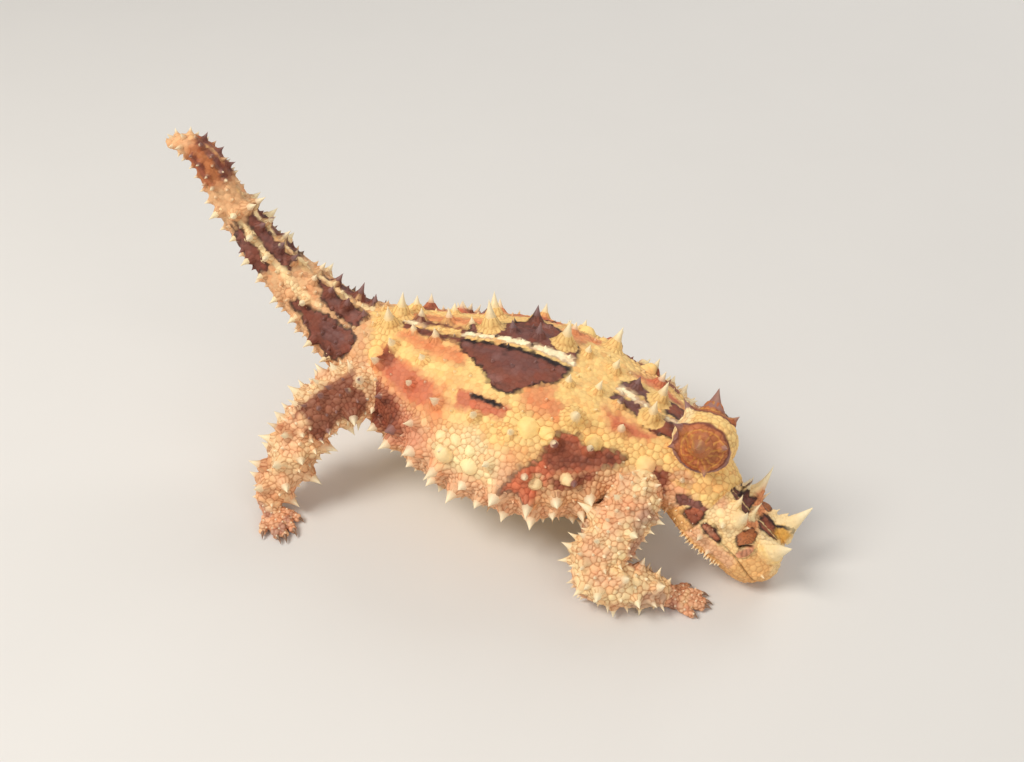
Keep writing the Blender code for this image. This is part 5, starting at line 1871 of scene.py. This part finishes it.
def small_spine(region, x, degrees, s, out, rng):
    """Group, room, length and radius of a small spine at a place, or nothing where none belongs."""
    if region == "body":
        if x > 29 and degrees < 60:
            return None
        if degrees > 122 or (degrees < 84 and x > -34 and rng.random() < 0.93):
            return None
        group = "tail" if x < -34 else "trunk"
        if degrees > 84 or x < -34:
            return group, 1.0, rng.uniform(0.6, 1.5), 0.45
        return group, 1.6, rng.uniform(0.5, 1.0), 0.42
    if region in LIMB_TUBES:
        return "limbs", 0.9, rng.uniform(0.7, 1.7), rng.uniform(0.38, 0.6)
    if region in PAWS and out[2] >= 0.2:
        return "limbs", 0.6, rng.uniform(0.3, 0.6), 0.3
    if region == "head" and 62 <= degrees <= 128 and rng.random() >= 0.7 and s <= 9:
        return "head", 0.6, rng.uniform(0.4, 0.8), 0.3
    return None


def all_spines(points, normals, surface, s, angle):
    """The main spines, and between them the smaller ones that only the render shows."""
    spines = main_spines()
    rng = random.Random(SEED + 2)
    for side in (-1, 1):
        for along in np.arange(1.6, 10.4, 0.62):
            turn = side * math.radians(rng.uniform(108, 113))
            spines.add("head", *HEAD_TUBE.spot(HEAD_TUBE.at(along), turn), rng.uniform(0.6, 1.2), 0.4)
    kept = Scales()
    for row in spines.rows:
        kept.add(row[1:4], row[-1] * 1.1, 0)
    order = list(range(len(points)))
    rng.shuffle(order)
    degrees, x = np.abs(np.degrees(angle)), BODY_TUBE.x_of(s)
    for index in order[: len(order) // 8]:
        point, out = points[index], normals[index]
        if point[2] < 1.2:
            continue
        found = small_spine(REGIONS[surface.region[index]], x[index], degrees[index], s[index], out, rng)
        if found and kept.free(point, found[1], 1.0):
            group, room, length, radius = found
            kept.add(point, room, 0)
            lean = np.array([rng.gauss(0, 0.14) for _ in range(3)])
            spines.add(group, point, unit(out + lean), length, radius)
    return spines


class DEVIL_OT_skin(bpy.types.Operator):
    """One skin over trunk, neck, head, tail and limbs, with scales, folds, lids and mouth"""
    bl_idname = "devil.skin"
    bl_label = "Skin"

    def execute(self, context):
        settings = context.scene.devil_skin
        points, faces, surface, normals, colours, tops = build_skin(settings, context.scene.devil_spines.foot)
        skin = piece("skin", points, faces, skin_finish(tuple(settings.groove_tint_and_shade)))
        add_colour(skin.data, "markings", colours)
        add_number(skin.data, "dome", tops)
        add_unwrap(skin.data, skin_unwrap(surface, faces, normals))
        flesh = [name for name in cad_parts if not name.endswith(("_eye", "_horn"))]
        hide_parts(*flesh)
        return {"FINISHED"}


def cone_mesh(roots, ways, bends, lengths, radii, sides, levels, foot):
    """Many spines as one mesh: points, faces, shares of the height, places in a patch, points of each."""
    count, levels = len(roots), np.array(levels)
    side, other = squares_to(ways)
    turn = np.arange(sides) * math.tau / sides
    heights = np.concatenate([np.full((count, 1), -0.45), levels[None, 1:] * lengths[:, None]], axis=1)
    widths = spine_radius(levels[None], radii[:, None] * foot * 0.96, levels[1])
    middle = roots[:, None] + ways[:, None] * heights[..., None] + bends[:, None] * levels[:, None] ** 2
    ring = side[:, None] * np.cos(turn)[:, None] + other[:, None] * np.sin(turn)[:, None]
    keel = 1 + 0.05 * np.cos(turn * 5) * (1 - levels)[:, None]
    loops = middle[:, :, None] + ring[:, None] * (widths[:, :, None] * keel)[..., None]
    tips, feet = roots + ways * lengths[:, None] + bends, roots - ways * 0.6
    points = np.concatenate([loops.reshape(count, -1, 3), feet[:, None], tips[:, None]], axis=1)
    each = points.shape[1]
    faces = (loops_to_faces(len(levels), sides) + np.arange(count)[:, None, None] * each).reshape(-1, 3)
    high = np.repeat(levels, sides)
    circle = np.tile(np.stack([np.cos(turn), np.sin(turn)], axis=1), (len(levels), 1))
    spread = np.concatenate([(1.0 - high)[:, None] * circle, np.zeros((2, 2))])
    shares = np.concatenate([high, [0.0, 1.0]])
    return points.reshape(-1, 3), faces, np.tile(shares, count), np.tile(spread, (count, 1)), each


def spine_markings(surface, at_roots, owner):
    """The markings of the spines' points, mostly those at their roots, which owner tells for each point."""
    s, angle = surface.own()
    root_s, root_angle = (values[owner] for values in at_roots.own())
    region = at_roots.region[owner]
    head = region == NUMBER["head"]
    same = (surface.region == region) & ~head
    s = np.where(same, s * 0.45 + root_s * 0.55, root_s)
    angle = root_angle + np.where(same, 0.45 * wrapped(angle - root_angle), 0)
    s[head], angle[head] = surface.s["head"][head], surface.angle["head"][head]
    return marked(region, s, angle, surface.knob, surface.points)


def spine_colours(settings, group, colours, shares, roots, lengths, radii, pale_ones):
    """Markings that turn to the tips' colour; what follows the shares is of each point's spine."""
    pale_foot = toward(colours, "yellow" if group == "trunk" else "cream", 0.9)
    colours = np.where(pale_ones[:, None], pale_foot, colours)
    pale = colours.mean(axis=1) > 0.16
    tip = np.where(pale[:, None], np.array(settings.tip), np.array(settings.dark_tip))
    share = smooth_step(0.12, 0.75, shares) * np.where(pale, 0.85, 0.6)
    if group == "knob":
        large, near = lengths > 4, roots[:, 1] < KNOB_AT[1]
        tip = light("lilac")
        share = np.where(large & ~near, 0.75, share * np.where(large & near, 0.3, 0.9))
    if group in ("trunk", "tail"):
        share = share * np.where(radii < 0.5, 0.5, 1.0)
    return colours + (tip - colours) * share[:, None]


def root_places(at_roots, ways):
    """UV of the spines' roots."""
    uv = np.zeros((len(ways), 2))
    for name in REGIONS:
        mine = np.flatnonzero(at_roots.region == NUMBER[name])
        if len(mine):
            uv[mine] = sheet_places(name, at_roots, mine, ways)
    return uv


def spine_piece(settings, group, name, here, sides, levels):
    """One joined mesh of some spines of a group, coloured by the markings that they stand in."""
    _, *columns = MADE["spines"].table()
    roots, ways, bends, lengths, radii = (column[here] for column in columns)
    foot = settings.foot if group != "head" else HEAD_FOOT
    points, faces, shares, spread, each = cone_mesh(roots, ways, bends, lengths, radii, sides, levels, foot)
    owner = np.repeat(np.arange(len(roots)), each)
    at_roots = Surface(roots)
    markings = spine_markings(Surface(points), at_roots, owner)
    pale_ones = MADE["spines"].pale()[here][owner]
    colours = spine_colours(
        settings, group, markings, shares, roots[owner], lengths[owner], radii[owner], pale_ones)
    obj = piece(name, above_floor(points), faces, spine_finish())
    add_colour(obj.data, "markings", colours)
    add_number(obj.data, "height", shares)
    uv = root_places(at_roots, ways)[owner] + spread * ROOT_PATCH
    add_unwrap(obj.data, uv[faces.ravel()])


def make_spines(context, group, parts):
    """A piece for each part of a group: name, radii from and to, sides and levels of a spine."""
    groups, _, _, _, _, radii = MADE["spines"].table()
    for name, low, high, sides, levels in parts:
        here = np.flatnonzero((groups == group) & (radii >= low) & (radii < high))
        if len(here):
            spine_piece(context.scene.devil_spines, group, name, here, sides, levels)
    return {"FINISHED"}


FINE = (0.0, 0.08, 0.14, 0.22, 0.33, 0.46, 0.6, 0.76, 0.9)  # shares of the height, the first below the skin
COARSE = (0.0, 0.03, 0.14, 0.32, 0.6)
WIDEST = 9  # more than the radius of any spine


class DEVIL_OT_trunk_spines(bpy.types.Operator):
    """Spines of the back, the flanks and the belly's edge"""
    bl_idname = "devil.trunk_spines"
    bl_label = "Trunk spines"

    def execute(self, context):
        return make_spines(context, "trunk", (
            ("trunk_spines", 0.6, WIDEST, 14, FINE), ("trunk_small_spines", 0, 0.6, 8, COARSE)))


class DEVIL_OT_tail_spines(bpy.types.Operator):
    """Spines of the tail"""
    bl_idname = "devil.tail_spines"
    bl_label = "Tail spines"

    def execute(self, context):
        return make_spines(context, "tail", (
            ("tail_spines", 0.52, WIDEST, 12, FINE), ("tail_small_spines", 0, 0.52, 8, COARSE)))


class DEVIL_OT_limb_spines(bpy.types.Operator):
    """Spines of the arms, legs, hands and feet"""
    bl_idname = "devil.limb_spines"
    bl_label = "Limb spines"

    def execute(self, context):
        return make_spines(context, "limbs", (
            ("limb_spines", 0.55, WIDEST, 10, FINE), ("limb_small_spines", 0, 0.55, 8, COARSE)))


class DEVIL_OT_head_spines(bpy.types.Operator):
    """Spines of the head, the neck and the knob on the nape"""
    bl_idname = "devil.head_spines"
    bl_label = "Head spines"

    def execute(self, context):
        make_spines(context, "head", (("head_spines", 0, WIDEST, 16, FINE),))
        return make_spines(context, "knob", (("knob_spines", 0, WIDEST, 18, FINE),))


def horn_shell(line, sizes, flat, sides=28):
    """A closed bent horn through points, with its own width at each, flattened across the way given."""
    line, sizes = np.array(line), np.array(sizes)
    ahead = unit(np.gradient(line, axis=0))
    wide = unit(np.cross(ahead, np.cross(flat, ahead)))[:, None] * 1.12
    thin = np.cross(ahead, wide[:, 0] / 1.12)[:, None] * 0.86
    turn = (np.arange(sides) * math.tau / sides)[:, None]
    loops = line[:, None] + sizes[:, None, None] * (wide * np.cos(turn) + thin * np.sin(turn))
    points = np.concatenate([loops.reshape(-1, 3), line[:1], line[-1:] + ahead[-1:] * 0.15])
    return points, loops_to_faces(len(line), sides)


# Shares of the length and of the radius along the brow horn and its teeth, from under the skin to the tip
HORN_SHARES = np.array((-0.16, -0.05, 0.04, 0.12, 0.22, 0.34, 0.48, 0.62, 0.76, 0.88, 0.97))
HORN_SIZES = np.array((1.12, 1.03, 0.89, 0.75, 0.61, 0.49, 0.38, 0.28, 0.19, 0.11, 0.05))
TOOTH_SHARES = np.array((-0.35, 0.0, 0.14, 0.3, 0.5, 0.72, 0.92))
TOOTH_SIZES = np.array((1.2, 1.0, 0.78, 0.56, 0.36, 0.19, 0.06))
HORN_TEETH = ((-1.6, 2.5, 1.15), (-2.9, 1.9, 0.85), (1.5, 1.5, 0.7))  # place before the horn, length, radius
HORN_GRAIN = 0.11  # width of the smallest facet


def brow_horn(side):
    """The shells of the great horn of the brow and its teeth, and the horn's root, way and length."""
    along, degrees, length, radius = BROW_HORN
    angle = side * math.radians(degrees)
    way, curl = (HEAD_TUBE.turned(np.array((x, side * y, z))) for x, y, z in (BROW_HORN_WAY, BROW_HORN_CURL))
    way = unit(way)
    front = HEAD_TUBE.turned(np.array((1.0, 0, 0)))
    root = HEAD_TUBE.point(HEAD_TUBE.at(along), angle)[0]
    line = root + way * (length * HORN_SHARES)[:, None] + curl * np.maximum(HORN_SHARES, 0)[:, None] ** 2
    shells = [horn_shell(line, radius * HORN_SIZES, front)]
    for ahead, height, thick in HORN_TEETH:
        foot = HEAD_TUBE.point(HEAD_TUBE.at(along + ahead), angle)[0]
        line = foot + way * (height * TOOTH_SHARES)[:, None]
        shells.append(horn_shell(line, thick * TOOTH_SIZES, front, 20))
    return shells, root, way, length


def horn_colours(points, share, tip):
    """The markings at the horn's foot, cream above it and the tip's colour at the top."""
    surface = Surface(points)
    region = np.full(len(points), NUMBER["head"])
    colours = marked(region, surface.s["head"], surface.angle["head"], surface.knob, points)
    pale = smooth_step(0.1, 0.2, colours.mean(axis=1))
    colours = toward(colours, "cream", smooth_step(0.04, 0.2, share) * (0.5 + 0.5 * pale))
    return colours + (np.array(tip) - colours) * smooth_step(0.3, 0.8, share)[:, None] * 0.8


def horn_places(points, faces, out, root, way):
    """UV of a horn, with its inner side next to its outer one."""
    front = HEAD_TUBE.turned(np.array((1.0, 0, 0)))
    flat = np.stack([(points - root) @ front, (points - root) @ way], axis=1)
    turned = (out @ np.cross(way, front) > 0)[faces].sum(axis=1) >= 2
    return flat[faces.ravel()] / HORN_SHEET + 0.25 + np.repeat(turned, 3)[:, None] * (0.5, 0.0)


class DEVIL_OT_horns(bpy.types.Operator):
    """The two horns of the brow, with their teeth"""
    bl_idname = "devil.horns"
    bl_label = "Horns"

    def execute(self, context):
        for side, name in SIDES:
            shells, root, way, length = brow_horn(side)
            points, faces = fused(shells, HORN_GRAIN)
            points = relaxed(points, edges_of(faces), 3, np.full(len(points), 0.3))
            share = np.clip((points - root) @ way / length, 0, 1)
            out = normals_of(points, faces)
            pebble = (0.5 - cell_gap(points, 0.9, 71)) * 0.34 * smooth_step(0.6, 0.1, share)
            obj = piece(f"{name}_brow_horn", points + out * pebble[:, None], faces, spine_finish())
            add_colour(obj.data, "markings", horn_colours(points, share, context.scene.devil_spines.tip))
            add_number(obj.data, "height", share)
            add_unwrap(obj.data, horn_places(points, faces, out, root, way))
            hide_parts(f"{name}_horn")
        return {"FINISHED"}


class DEVIL_OT_eyes(bpy.types.Operator):
    """The two dark eyes behind their lids"""
    bl_idname = "devil.eyes"
    bl_label = "Eyes"

    def execute(self, context):
        settings = context.scene.devil_eyes
        finish = eye_finish(tuple(settings.colour))
        for side, name in SIDES:
            centre, out = eye_centre(side), eye_axes(side)[0]
            points, faces = ball_shell(centre, np.full(3, settings.radius / MM), rings=28, sides=40)
            cornea = 0.16 * smooth_step(0.86, 0.99, unit(points - centre) @ out)
            obj = piece(f"{name}_eyeball", points + out * cornea[:, None], faces, finish)
            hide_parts(f"{name}_eye")
        return {"FINISHED"}


# Shares of the length and of the radius along a claw, from inside the digit to the tip
CLAW_SHARES = np.array((-0.12, 0.05, 0.2, 0.38, 0.56, 0.74, 0.9, 0.985))
CLAW_SIZES = np.array((1.0, 1.05, 1.0, 0.92, 0.8, 0.62, 0.42, 0.2))


def claw_shell(root, tip, width):
    """One claw, arched over the line from its root to its tip."""
    line = root + (tip - root) * CLAW_SHARES[:, None]
    line[:, 2] += 0.42 * np.sin(np.clip(CLAW_SHARES, 0, 1) * math.pi)
    sizes = width * np.sqrt(np.clip(1.0 - CLAW_SHARES, 0.0, 1.1)) * CLAW_SIZES
    return horn_shell(line, sizes, np.array((0, 0, 1.0)), 14)


class DEVIL_OT_claws(bpy.types.Operator):
    """The claws of the hands and feet"""
    bl_idname = "devil.claws"
    bl_label = "Claws"

    def execute(self, context):
        settings = context.scene.devil_claws
        finish = claw_finish(tuple(settings.colour))
        for name in PAWS:
            claws = PAW_BONES[name][1]
            points, faces = joined([claw_shell(root, tip, settings.width) for root, tip in claws])
            piece(f"{name}_claws", above_floor(points), faces, finish)
        return {"FINISHED"}


CAMERA_AT = (78.51, -183.25, 178.1)
CAMERA_AXES = ((0.927, 0.375, 0.0), (-0.231, 0.571, 0.788), (0.295, -0.731, 0.616))  # right, up, back
LAMP_AIM = (0, 0, 0.02)
LAMPS = [  # name, place, size, strength as a multiple of the panel's, colour
    ("main_lamp", (-0.28, -0.30, 0.52), 0.30, 3.4, (1.0, 0.96, 0.90)),
    ("fill_lamp", (0.45, -0.35, 0.32), 0.5, 1.1, (1.0, 0.97, 0.94)),
    ("back_lamp", (0.15, 0.5, 0.42), 0.4, 1.2, (1.0, 1.0, 1.0)),
]


def add_floor(context, colour):
    """A square floor under the model, which is not part of it."""
    bm = bmesh.new()
    bmesh.ops.create_grid(bm, x_segments=2, y_segments=2, size=3.0)
    mesh = bpy.data.meshes.new("floor")
    bm.to_mesh(mesh)
    bm.free()
    floor = bpy.data.objects.new("floor", mesh)
    context.scene.collection.objects.link(floor)
    mesh.materials.append(floor_finish(colour))


def add_lamp(context, name, at, size, power, colour):
    """A round lamp that shines on the model."""
    lamp = bpy.data.lights.new(name, "AREA")
    lamp.shape = "DISK"
    lamp.size = size
    lamp.energy = power
    lamp.color = colour
    obj = bpy.data.objects.new(name, lamp)
    obj.location = at
    obj.rotation_euler = (Vector(LAMP_AIM) - Vector(at)).to_track_quat("-Z", "Y").to_euler()
    context.scene.collection.objects.link(obj)


def add_sky(context, strength):
    """Even light from all round."""
    world = bpy.data.worlds.new("studio")
    context.scene.world = world
    world.use_nodes = True
    sky = world.node_tree.nodes["Background"]
    sky.inputs["Color"].default_value = (1.0, 0.985, 0.965, 1.0)
    sky.inputs["Strength"].default_value = strength


def add_camera(context, lens):
    """The camera from where the photo was taken."""
    camera = bpy.data.cameras.new("camera")
    camera.lens = lens
    camera.sensor_width = 36.0
    camera.clip_start = 0.01
    obj = bpy.data.objects.new("camera", camera)
    turn = Matrix(CAMERA_AXES).transposed().to_4x4()
    obj.matrix_world = Matrix.Translation(Vector(CAMERA_AT) * MM) @ turn
    context.scene.collection.objects.link(obj)
    context.scene.camera = obj


class DEVIL_OT_stage(bpy.types.Operator):
    """The floor, the lamps and the camera"""
    bl_idname = "devil.stage"
    bl_label = "Stage"

    def execute(self, context):
        settings = context.scene.devil_stage
        add_floor(context, tuple(settings.floor))
        for name, at, size, share, colour in LAMPS:
            add_lamp(context, name, at, size, settings.lamp * share, colour)
        add_sky(context, settings.sky)
        add_camera(context, settings.lens)
        context.scene.view_settings.view_transform = "Standard"
        return {"FINISHED"}


class DEVIL_PT_panel(bpy.types.Panel):
    """Buttons and sizes of the thorny devil"""
    bl_idname = "DEVIL_PT_panel"
    bl_label = "Thorny Devil"
    bl_space_type = "VIEW_3D"
    bl_region_type = "UI"
    bl_category = "Thorny Devil"

    def draw(self, context):
        for operator in OPERATORS:
            self.layout.operator(operator.bl_idname)
        for name, (group, _) in SETTINGS.items():
            box = self.layout.box()
            box.label(text=group.__doc__)
            for key in group.__annotations__:
                box.prop(getattr(context.scene, name), key)


OPERATORS = (
    DEVIL_OT_skin, DEVIL_OT_trunk_spines, DEVIL_OT_tail_spines, DEVIL_OT_limb_spines, DEVIL_OT_head_spines,
    DEVIL_OT_horns, DEVIL_OT_eyes, DEVIL_OT_claws, DEVIL_OT_stage)
SETTINGS = {
    "devil_skin": (SkinSettings, "Skin"),
    "devil_spines": (SpineSettings, "Spines"),
    "devil_eyes": (EyeSettings, "Eyes"),
    "devil_claws": (ClawSettings, "Claws"),
    "devil_stage": (StageSettings, "Stage"),
}


def register():
    """Makes the settings, the operators and the panel known."""
    for name, (group, label) in SETTINGS.items():
        bpy.utils.register_class(group)
        setattr(bpy.types.Scene, name, PointerProperty(type=group, name=label))
    for item in (*OPERATORS, DEVIL_PT_panel):
        bpy.utils.register_class(item)


def unregister():
    """Takes the settings, the operators and the panel away again."""
    for item in reversed((*OPERATORS, DEVIL_PT_panel)):
        bpy.utils.unregister_class(item)
    for name, (group, _) in SETTINGS.items():
        delattr(bpy.types.Scene, name)
        bpy.utils.unregister_class(group)


def main():
    """Builds all pieces and the stage."""
    register()
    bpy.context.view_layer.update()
    for operator in OPERATORS:
        group, name = operator.bl_idname.split(".")
        getattr(getattr(bpy.ops, group), name)()


if __name__ == "__main__":
    main()
